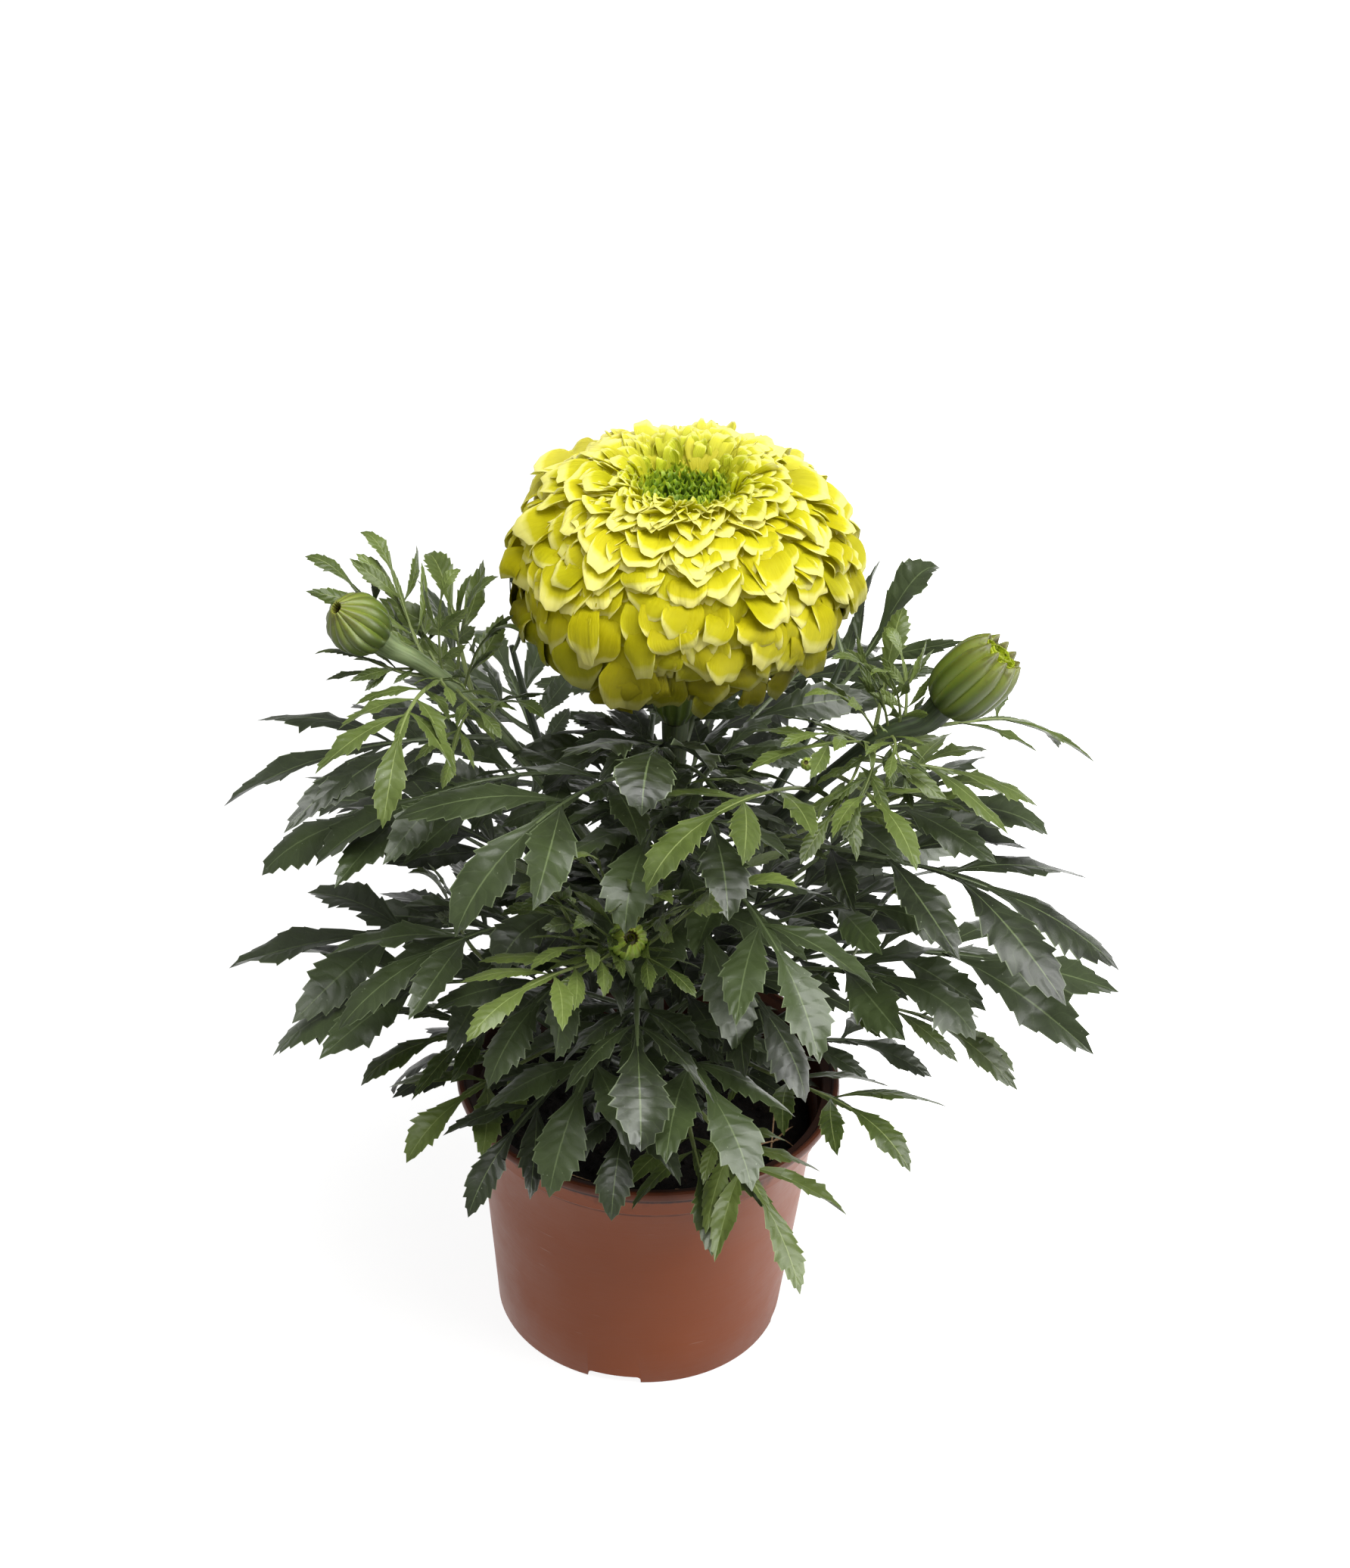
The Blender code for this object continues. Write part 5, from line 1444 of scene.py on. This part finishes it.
# %% Place the petals
# By the angle of a petal's tip from the top: its width and the spiral's spacing in mm, its
# lime tone, its least and most cupping, and how many degrees its end hangs.
PETAL_STAGES = (16, 23, 32, 45, 65, 90, 130)
PETAL_WIDTHS = (4.0, 6.4, 9.4, 11.0, 12.0, 12.8, 16.0)
PETAL_SPACINGS = (2.8, 3.4, 4.4, 5.4, 6.6, 7.6, 8.4)
PETAL_TONES = (0.50, 0.20, 0.06, 0.02, 0.0, 0.0, 0.0)
LEAST_CUPS = (1.2, 0.5, 0.0, -0.6, -1.1, -1.3, -1.4)
MOST_CUPS = (2.3, 2.0, 1.9, 1.8, 1.4, 0.8, 0.5)
PETAL_HANGS = (1.0, 7.0, 15.0, 19.0, 20.0, 20.0, 22.0)
PETAL_CROWDING = 1.9
# The petals near this angle from the top stand up round the hollow.
RIM_ANGLE = 28
RIM_LIFT = 0.05


def at_stage(angle, column):
    """A petal measure at an angle from the top, in degrees."""
    return np.interp(angle, PETAL_STAGES, column)


STEP = 0.25
steps = np.arange(PETAL_STAGES[0], PETAL_STAGES[-1], STEP)
per_step = (math.tau * BLOOM_RADIUS * np.sin(np.radians(steps)) * PETAL_CROWDING * STEP
            / (at_stage(steps, PETAL_WIDTHS) * at_stage(steps, PETAL_SPACINGS)))
so_far = np.cumsum(per_step)
draw = random.Random(7)
sheaf = Sheaf()
petal_count = int(so_far[-1])
for number in range(petal_count):
    angle = float(np.interp(number + 0.5, so_far, steps))
    azimuth = number * GOLDEN_ANGLE + draw.uniform(-0.05, 0.05)
    size = float(at_stage(angle, PETAL_WIDTHS)) * draw.uniform(0.75, 1.28)
    hang = math.radians(float(at_stage(angle, PETAL_HANGS)) * draw.uniform(0.5, 1.5))
    tone = float(at_stage(angle, PETAL_TONES)) + draw.uniform(-0.05, 0.12)
    cup = draw.uniform(float(at_stage(angle, LEAST_CUPS)), float(at_stage(angle, MOST_CUPS)))
    tip_angle = math.radians(angle + draw.uniform(-2.5, 2.5))
    least = 0.93 if angle < 75 else 0.86
    grow = draw.uniform(least, 1.03) + max(0.0, RIM_LIFT - abs(angle - RIM_ANGLE) * 0.003)
    add_petal(sheaf, tip_angle, azimuth, grow, size, hang, tone, cup, draw)
petals = sheaf.make("bloom_petal_mass", petal_tissue)
settle(petals, "bloom_petal_mass", "bloom_petals", smooth=60)
print("petals:", petal_count, "faces:", len(petals.data.polygons))

# %% [markdown]
# ## The bloom's core
# Behind the petals sits the seed head that carries them. It hardly shows, but without it
# light would fall through the gaps, so it is a turned solid in the petals' shaded colour.

# %% Turn the core
CORE_PROFILE = ((10, 250.4), (26, 253), (36, 260), (39, 271), (36, 282), (28, 288.5), (18, 291),
                (14, 290.5), (12, 289.5))
CORE_SIDES = 32

core_tissue, *_ = grainy("shaded_petal_bases", {"Roughness": 0.8, "Specular IOR Level": 0.1},
                         {"Scale": 300.0, "Detail": 2.0},
                         ((0.3, linear("#98901c")), (0.7, linear("#bab236"))))
core = turned_piece(CORE_PROFILE, CORE_SIDES, BLOOM_CENTRE)
core.data.materials.append(core_tissue)
settle(core, "bloom_core", "bloom_petals", smooth=60)
print("core faces:", len(core.data.polygons))

# %% [markdown]
# ## Green florets
# In the hollow stand the disc florets that haven't opened: green tubes about 2 mm wide, with
# flared mouths cut into five points. One is modelled from a ten-sided ring, extruded up, opened
# and led back inside, and every second corner of its rim is drawn in and down. Its copies
# follow the spiral of every daisy's disc, turning 137.5 degrees each time.

# %% Model the floret
floret_tissue, tree, shader = new_finish("green_floret_tissue", {
    "Roughness": 0.5, "Subsurface Weight": 0.1, "Subsurface Scale": 0.0008,
    "Subsurface Radius": (0.6, 1.0, 0.1)})
place = add_node(tree, "TexCoord")
tone = add_node(tree, "Attribute", {"attribute_name": "tone"})
grain = add_node(tree, "TexNoise", {"Scale": 400.0, "Detail": 2.0}, {"Vector": place.outputs["Object"]})
both = add_node(tree, "Math", {"operation": "MULTIPLY_ADD", 1: 0.4},
                {0: grain.outputs[0], 2: tone.outputs["Fac"]})
shade = add_node(tree, "ValToRGB", None, {0: both.outputs[0]},
                 ((0.10, linear("#22330a")), (0.45, linear("#5c7a0c")), (0.80, linear("#8f9f12")),
                  (1.15, linear("#c9c938"))))
tree.links.new(shade.outputs[0], shader.inputs["Base Color"])

# Rings of the floret, one unit tall: radius in millimetres, and height.
FLORET_RINGS = ((0.70, 0.0), (0.80, 0.55), (0.95, 0.85), (1.20, 1.0), (0.72, 0.88), (0.42, 0.66))
FLORET_SIDES = 10
floret = turned_piece(FLORET_RINGS, FLORET_SIDES, scale=1.0)
for vertex in floret.data.vertices:
    if abs(vertex.co.z - 1.0) < 0.001:
        corner = round(math.atan2(vertex.co.y, vertex.co.x) / math.tau * FLORET_SIDES)
        stand, lift = (1.2, 0.06) if corner % 2 else (0.72, -0.10)
        vertex.co.x *= stand
        vertex.co.y *= stand
        vertex.co.z += lift
FLORET = (np.array([v.co for v in floret.data.vertices]),
          [tuple(p.vertices) for p in floret.data.polygons])
# A floret's rim is paler than its tube; its throat and the foot of its tube are painted
# darker, as painted shade.
RIM = np.abs(FLORET[0][:, 2] - 1.0) < 0.12
THROAT = np.hypot(FLORET[0][:, 0], FLORET[0][:, 1]) < 0.50
FLORET_TONES = np.where(RIM, 0.26, np.where(THROAT, -0.5, FLORET[0][:, 2] * 0.2 - 0.2))
bpy.data.objects.remove(floret, do_unlink=True)
print("floret faces:", len(FLORET[1]))

# %% Place the florets
FLORETS = 165
FLORET_FLOOR = 291.2
FLORET_FIELD = 15.5
FLORET_TALL = 6.4
flat_pattern = np.zeros((sum(map(len, FLORET[1])), 2))
draw = random.Random(17)
sheaf = Sheaf()
for number in range(FLORETS):
    ring = FLORET_FIELD * math.sqrt((number + 0.5) / FLORETS)
    azimuth = number * GOLDEN_ANGLE
    wide = 0.92 + ring * 0.018 + draw.uniform(-0.16, 0.16)
    tall = FLORET_TALL + ring * 0.24 + draw.uniform(-0.8, 0.8)
    lean = math.radians(-6 + ring * 0.9 + draw.uniform(-12, 12))
    turn = (Matrix.Rotation(azimuth, 3, "Z") @ Matrix.Rotation(lean, 3, "Y")
            @ Matrix.Rotation(draw.uniform(0, math.tau), 3, "Z") @ Matrix.Diagonal((wide, wide, tall)))
    foot = np.array((BLOOM_CENTRE[0] + ring * math.cos(azimuth), ring * math.sin(azimuth),
                     FLORET_FLOOR))
    points = FLORET[0] @ np.array(turn).T + foot
    tone = 0.14 + (ring / FLORET_FIELD) ** 2 * 0.46 + draw.uniform(-0.08, 0.08)
    sheaf.add(points, FLORET[1], flat_pattern, tone + FLORET_TONES)
florets = sheaf.make("bloom_floret_disc", floret_tissue)
settle(florets, "bloom_floret_disc", "bloom_florets", smooth=50)
print("florets:", FLORETS, "faces:", len(florets.data.polygons))

# %% [markdown]
# ## Bract tissue
# Under the bloom and around each bud the green bracts are grown together. They have a waxy
# gloss like a leaf's and brown specks towards the tip, and each rib's crest is painted paler and
# each seam darker, as painted highlight and painted shade. The finish follows the ribs by the
# piece's own pattern coordinates, which count them, and the tone paints one bud brighter and
# another duller, as painted light and shade.

# %% Finish of the bracts
# Painted light and shade: shares of light by which the tone brightens or dulls a bud's green.
BRIGHT_BRACT = (1.95, 2.05, 2.5, 1.0)
DULL_BRACT = (0.46, 0.43, 0.32, 1.0)
bract_tissue, tree, shader = new_finish("ribbed_bract_tissue", {
    "Roughness": 0.42, "IOR": 1.45, "Specular IOR Level": 0.45, "Subsurface Weight": 0.1,
    "Subsurface Scale": 0.002})
uv = add_node(tree, "UVMap", {"uv_map": "pattern"})
parts = add_node(tree, "SeparateXYZ", None, {0: uv.outputs[0]})
tone = add_node(tree, "Attribute", {"attribute_name": "tone"})
place = add_node(tree, "TexCoord")
grain = add_node(tree, "TexNoise", {"Scale": 350.0, "Detail": 3.0}, {"Vector": place.outputs["Object"]})
round_it = add_node(tree, "Math", {"operation": "PINGPONG", 1: 0.5}, {0: parts.outputs[0]})
# Painted highlight and shade: each rib's crest is paler and each seam darker.
rib_highlight_seam_shade = add_node(tree, "ValToRGB", None, {0: round_it.outputs[0]},
                 ((0.0, linear("#1c260b")), (0.13, linear("#44581b")), (0.5, linear("#869a41"))))
up_bud = add_node(tree, "ValToRGB", None, {0: parts.outputs[1]},
                  ((0.0, linear("#36451d")), (0.40, linear("#64781f")), (0.75, linear("#98a038")),
                   (1.0, linear("#a69a48"))))
green = add_node(tree, "Mix", {"data_type": "RGBA", 0: 0.5}, {6: rib_highlight_seam_shade.outputs[0], 7: up_bud.outputs[0]})
tip_dark = add_node(tree, "MapRange", {1: 0.45, 2: 0.95, 3: 0.0, 4: 1.0}, {0: parts.outputs[1]})
blots = add_node(tree, "MapRange", {1: 0.52, 2: 0.62, 3: 0.0, 4: 0.75}, {0: grain.outputs[0]})
specks = add_node(tree, "Math", {"operation": "MULTIPLY"},
                  {0: tip_dark.outputs[0], 1: blots.outputs[0]})
mouth = add_node(tree, "MapRange", {1: 0.87, 2: 0.95, 3: 0.0, 4: 0.85}, {0: parts.outputs[1]})
scorched = add_node(tree, "Math", {"operation": "MAXIMUM"},
                    {0: specks.outputs[0], 1: mouth.outputs[0]})
brown = add_node(tree, "Mix", {"data_type": "RGBA", 7: linear("#3b2a12")},
                 {0: scorched.outputs[0], 6: green.outputs[2]})
# Painted light and shade: the tone brightens one bud and dulls another.
painted_bud_light = add_node(tree, "Mix", {"data_type": "RGBA", 6: BRIGHT_BRACT, 7: DULL_BRACT},
                    {0: tone.outputs["Fac"]})
bud_with_painted_light = add_node(tree, "Mix", {"data_type": "RGBA", "blend_type": "MULTIPLY", 0: 1.0},
                   {6: brown.outputs[2], 7: painted_bud_light.outputs[2]})
tree.links.new(bud_with_painted_light.outputs[2], shader.inputs["Base Color"])
bump = add_node(tree, "Bump", {"Strength": 0.2, "Distance": 0.0003}, {"Height": grain.outputs[0]})
tree.links.new(bump.outputs[0], shader.inputs["Normal"])
print("bract finish:", bract_tissue.name)

# %% [markdown]
# ## The ribbed shell
# The cup under the bloom and the buds are one kind of shape, a shell whose ribs are the
# bracts. It could be turned like the pot, but would come out smooth. The outline swells
# between the seams, so the radius is changed around each ring, and each rib ends in a tip of
# its own length.

# %% Shape a ribbed shell
CORNERS_PER_RIB = 8


def bud_shape(sheaf, foot, axis, rows, ribs, depth, tone, points_out=0.0):
    """Add a ribbed shell: rows of place along the axis and radius; the last rows go back inside."""
    draw = random.Random(ribs)
    tips = np.repeat([draw.uniform(0.4, 1.3) for _ in range(ribs)], CORNERS_PER_RIB)
    tips = np.roll(tips, -CORNERS_PER_RIB // 2)
    side = unit(np.cross(axis, ASIDE))
    across = np.cross(axis, side)
    corners = ribs * CORNERS_PER_RIB
    turn = np.arange(corners) / corners * math.tau
    rib = np.abs(np.cos(turn * ribs / 2))
    rings = []
    for place, radius, ribbing in rows:
        reach = radius * (1 - depth * ribbing * (1 - rib ** 0.7))
        ahead = points_out * max(0.0, place / rows[-4][0] - 0.75) * 4 * (rib ** 2 - 0.4) * tips
        rings.append(foot + np.outer(place + ahead, axis) + np.outer(reach * np.cos(turn), side)
                     + np.outer(reach * np.sin(turn), across))
    points = np.concatenate(rings)
    faces, pattern = [tuple(range(corners))[::-1]], [(0.5, 0.0)] * corners
    for ring in range(len(rows) - 1):
        low, high = ring / (len(rows) - 1), (ring + 1) / (len(rows) - 1)
        for corner in range(corners):
            other = (corner + 1) % corners
            start = ring * corners
            faces.append((start + corner, start + other, start + corners + other, start + corners + corner))
            left, right = corner / CORNERS_PER_RIB, (corner + 1) / CORNERS_PER_RIB
            pattern.extend(((left, low), (right, low), (right, high), (left, high)))
    faces.append(tuple((len(rows) - 1) * corners + corner for corner in range(corners)))
    pattern.extend([(0.5, 1.0)] * corners)
    sheaf.add(points, faces, np.array(pattern), tone)


print("corners to a rib:", CORNERS_PER_RIB)

# %% [markdown]
# ## The buds and the cup
# A bud swells from its neck to just below its middle and closes in to its mouth, where its
# last rings lead back inside. The left bud's mouth is a small dark hole, and petals show in
# the right one and the front one. The cup is the same shell without a mouth, because the
# bloom covers its top.

# %% Model the buds and the cup
RIB_DEPTH = 0.13
# Where a bud is widest, as a share of its length, and how far it sinks into its stem in mm.
WIDEST = 0.46
SUNK = 0.5


def bud_rows(length, radius, neck, opening, barrel):
    """Rows of a bud: a rounded shell, its lip, and a short way back inside."""
    rows = []
    for place in (0.0, 0.05, 0.12, 0.20, 0.30, 0.42, 0.54, 0.66, 0.77, 0.86, 0.94, 1.0):
        if place < WIDEST:
            size = neck + (radius - neck) * math.sin(math.pi / 2 * (place / WIDEST) ** 0.62)
        else:
            fall = ((place - WIDEST) / (1 - WIDEST)) ** barrel
            size = opening + (radius - opening) * math.cos(math.pi / 2 * fall)
        rows.append((place, size, min(1.0, 0.2 + place * 4) + max(0.0, place - 0.8)))
    rows += [(0.985, opening * 0.92, 1.2), (0.90, opening * 0.85, 0.6), (0.80, opening * 0.8, 0.0)]
    return [(place * length, size, ribbing) for place, size, ribbing in rows]


# Node, stem, radius, length, opening, ribs, how far the tips stand out, how like a barrel, and
# dusk, the tone of its painted light and shade.
BUDS = (
    ("bud_left", STEMS["branch_left"], 9.0, 19.0, 1.9, 13, 0.3, 1.25, 0.87),
    ("bud_right", STEMS["branch_right"], 10.6, 24.0, 6.6, 11, 2.2, 1.9, 0.93),
    ("bud_front", STEMS["branch_front"], 5.8, 12.0, 2.4, 14, 0.5, 1.6, 0.0),
    ("bud_small", TWIG, 2.0, 4.6, 0.8, 7, 0.1, 1.3, 0.2),
)
for name, (points, radii), radius, length, opening, ribs, points_out, barrel, dusk in BUDS:
    end, axis = on_stem(points, 1.0)
    sheaf = Sheaf()
    rows = bud_rows(length + SUNK, radius, radii[-1] * 0.98, opening, barrel)
    bud_shape(sheaf, end - axis * SUNK, axis, rows, ribs, RIB_DEPTH, dusk, points_out)
    bud = sheaf.make(name + "_bracts", bract_tissue)
    settle(bud, name + "_bracts", name, smooth=70)

CUP_FOOT = np.array((3.0, 0.0, 222.4))
# Rows of the cup: height, radius, and how deep its seams are.
CUP_ROWS = ((0.0, 4.2, 0.3), (5.0, 6.8, 0.8), (14.0, 8.5, 1.0), (24.0, 9.4, 1.0), (27.6, 9.6, 1.0))
CUP_RIBS = 13
CUP_RIB_DEPTH = 0.12
CUP_DUSK = 0.7
sheaf = Sheaf()
bud_shape(sheaf, CUP_FOOT, UP, CUP_ROWS, CUP_RIBS, CUP_RIB_DEPTH, CUP_DUSK)
cup = sheaf.make("bloom_cup_bracts", bract_tissue)
settle(cup, "bloom_cup_bracts", "bloom_cup", smooth=70)
print("buds:", len(BUDS), "ribs on the cup:", CUP_RIBS)

# %% [markdown]
# ## Petals in the buds
# The petals that push out of a bud are still rolled, and stand close together. They are the
# same petal, short and narrow, in one ring or three round the bud's own axis.

# %% Petals in the mouths
# They start this far along the bud.
TUFT_START = 0.80


def bud_tuft(name, node, stem, length, opening, rings, tone):
    """Stand short petals in a bud's mouth; rings are share of the opening, count and height."""
    draw = random.Random(len(name) * 3)
    end, axis = on_stem(stem[0], 1.0)
    foot = end + axis * length * TUFT_START
    side = unit(np.cross(axis, ASIDE))
    across = np.cross(axis, side)
    sheaf = Sheaf()
    corners = PETAL[0]
    s = corners[:, 0]
    u = corners[:, 1:2]
    for share, count, tall in rings:
        for number in range(count):
            azimuth = math.tau * (number + draw.uniform(-0.2, 0.2)) / count
            spoke = side * math.cos(azimuth) + across * math.sin(azimuth)
            rise = tall * draw.uniform(0.85, 1.1)
            inset = opening * share
            root = foot + spoke * inset * 0.75
            tip = foot + spoke * inset * draw.uniform(0.85, 1.12) + axis * rise
            curve = np.array((root, root + axis * rise * 0.4,
                              tip - axis * rise * 0.3 + spoke * inset * 0.1, tip))
            heading = unit(bezier_slope(curve, s))
            sideways = np.cross(axis, spoke)
            normal = unit(np.cross(heading, sideways))
            width = opening * draw.uniform(0.55, 0.8)
            lift = (-0.8 * u * u * s[:, None]) * width / 2 + corners[:, 2:3] * PETAL_THICKNESS * 0.7
            sheaf.add(bezier(curve, s) + sideways * u * width / 2 - normal * lift, PETAL[1], PETAL[2],
                      tone + draw.uniform(-0.1, 0.1))
    piece = sheaf.make(name, petal_tissue)
    settle(piece, name, node, smooth=60)


# Name, node, stem, the bud's length, its opening, the rings, and the tone.
TUFTS = (
    ("bud_right_tuft", "bud_right_petals", STEMS["branch_right"], 24.0, 6.6,
     ((0.80, 13, 4.3), (0.5, 9, 4.6), (0.2, 5, 4.2)), 0.75),
    ("bud_front_tuft", "bud_front_petals", STEMS["branch_front"], 12.0, 2.8,
     ((0.35, 7, 2.6),), 0.20),
)
for tuft in TUFTS:
    bud_tuft(*tuft)
print("tufts:", len(TUFTS))

# %% [markdown]
# ## Roots on the soil
# Seven dry roots lie on the peat, four of them near the right side of the pot, where they cross
# and fork. Each is a thin curve, like the stems.

# %% Model the roots
ROOTS = (
    ((39, -24, 76.4), (39.5, -16, 78.2), (40, -6, 78.6), (40.5, 3, 76.4)),
    ((31, -22, 76.4), (35, -19.5, 78.2), (40, -17.5, 78.6), (43, -16, 78.2), (47, -18, 76.6)),
    ((39.5, -18, 78.4), (44, -12, 78.6), (46, -8, 77.0)),
    ((10, -40, 76.0), (18, -41, 77.2), (26, -38, 76.2)),
    ((-30, -30, 76.0), (-24, -36, 77.4), (-16, -38, 76.0)),
    ((-10, 36, 76.0), (2, 40, 77.6), (14, 38, 76.2)),
    ((38, 8, 76.2), (36, 18, 77.4), (28, 27, 76.0)),
)
ROOT_RADII = (0.32, 0.26, 0.16)
roots = [stem_mesh("root", points, ROOT_RADII, 14, root_fibre, resolution=1) for points in ROOTS]
settle(joined(roots), "soil_roots", "soil", smooth=60)
print("roots:", len(ROOTS))

# %% [markdown]
# ## Floor, light and camera
# A catalogue picture of a plant is lit softly from above, with one large window-like light on
# its right, and it stands on plain white. A weak fill from the front left shows only in matt
# colour, and a low light on the right only in gloss, where it greys the leaves and the pot.
# The paper glows by itself, more on the right, and is seen by the camera and in gloss. The
# camera looks down at 34 degrees through a long lens from 1.13 m, rolled by under three.

# %% Floor
FLOOR_SIZE = 8.0
deselect()
bpy.ops.mesh.primitive_grid_add(x_subdivisions=2, y_subdivisions=2, size=FLOOR_SIZE)
floor = bpy.context.object
floor.name = "floor"
paper, tree, shader = new_finish("white_background_paper", {
    "Base Color": linear("#767675"), "Roughness": 0.9, "Specular IOR Level": 0.0, "Emission Color": WHITE})
place = add_node(tree, "TexCoord")
parts = add_node(tree, "SeparateXYZ", None, {0: place.outputs["Object"]})
window_side = add_node(tree, "MapRange", {1: 0.04, 2: 0.14, 3: 0.90, 4: 2.6,
                                          "interpolation_type": "SMOOTHSTEP"}, {0: parts.outputs[0]})
tree.links.new(window_side.outputs[0], shader.inputs["Emission Strength"])
floor.data.materials.append(paper)
floor.visible_diffuse = False
print("floor size m:", FLOOR_SIZE)


# %% Lights
def soft_light(name, place, aim, size, power):
    """A square soft white light that looks at a point."""
    light = bpy.data.lights.new(name, "AREA")
    light.shape = "SQUARE"
    light.size = size
    light.energy = power
    lamp = bpy.data.objects.new(name, light)
    lamp.location = place
    lamp.rotation_mode = "QUATERNION"
    lamp.rotation_quaternion = (Vector(aim) - Vector(place)).to_track_quat("-Z", "Y")
    bpy.context.scene.collection.objects.link(lamp)
    return lamp


soft_light("window_right", (1.05, -0.55, 1.45), (0.0, 0.0, 0.20), 0.9, 24.5)
soft_light("top_softbox", (0.15, -0.35, 1.80), (0.0, 0.0, 0.2), 1.1, 37.5)
fill = soft_light("fill_front_left", (-0.8, -1.3, 0.40), (0.0, 0.0, 0.08), 0.7, 2.8)
fill.visible_glossy = False
sheen = soft_light("sheen_right", (1.3, -0.8, 0.45), (0.0, 0.0, 0.05), 0.9, 32.0)
sheen.visible_diffuse = False
STUDIO_GLOW = 0.34
world = bpy.data.worlds.new("studio")
bpy.context.scene.world = world
world.use_nodes = True
world.node_tree.nodes["Background"].inputs[0].default_value = WHITE
world.node_tree.nodes["Background"].inputs[1].default_value = STUDIO_GLOW
bpy.context.scene.view_settings.view_transform = "Standard"
print("lights: 4 and the studio's own white")

# %% Camera
CAMERA_TARGET = Vector((3.91, 0.0, 199.1)) * MM
CAMERA_DISTANCE = 1.1281
CAMERA_ELEVATION = math.radians(34.12)
CAMERA_ROLL = math.radians(2.78)
CAMERA_LENS = 87.08

back = Vector((0.0, -math.cos(CAMERA_ELEVATION), math.sin(CAMERA_ELEVATION)))
right = Vector((1.0, 0.0, 0.0))
upward = back.cross(right)
rolled_right = right * math.cos(CAMERA_ROLL) + upward * math.sin(CAMERA_ROLL)
rolled_up = upward * math.cos(CAMERA_ROLL) - right * math.sin(CAMERA_ROLL)
lens = bpy.data.cameras.new("camera")
lens.lens = CAMERA_LENS
lens.sensor_width = 36.0
lens.clip_start = 0.01
camera = bpy.data.objects.new("camera", lens)
camera.matrix_world = (Matrix.Translation(CAMERA_TARGET + back * CAMERA_DISTANCE)
                       @ Matrix((rolled_right, rolled_up, back)).transposed().to_4x4())
bpy.context.scene.collection.objects.link(camera)
bpy.context.scene.camera = camera
print("camera distance m:", CAMERA_DISTANCE)
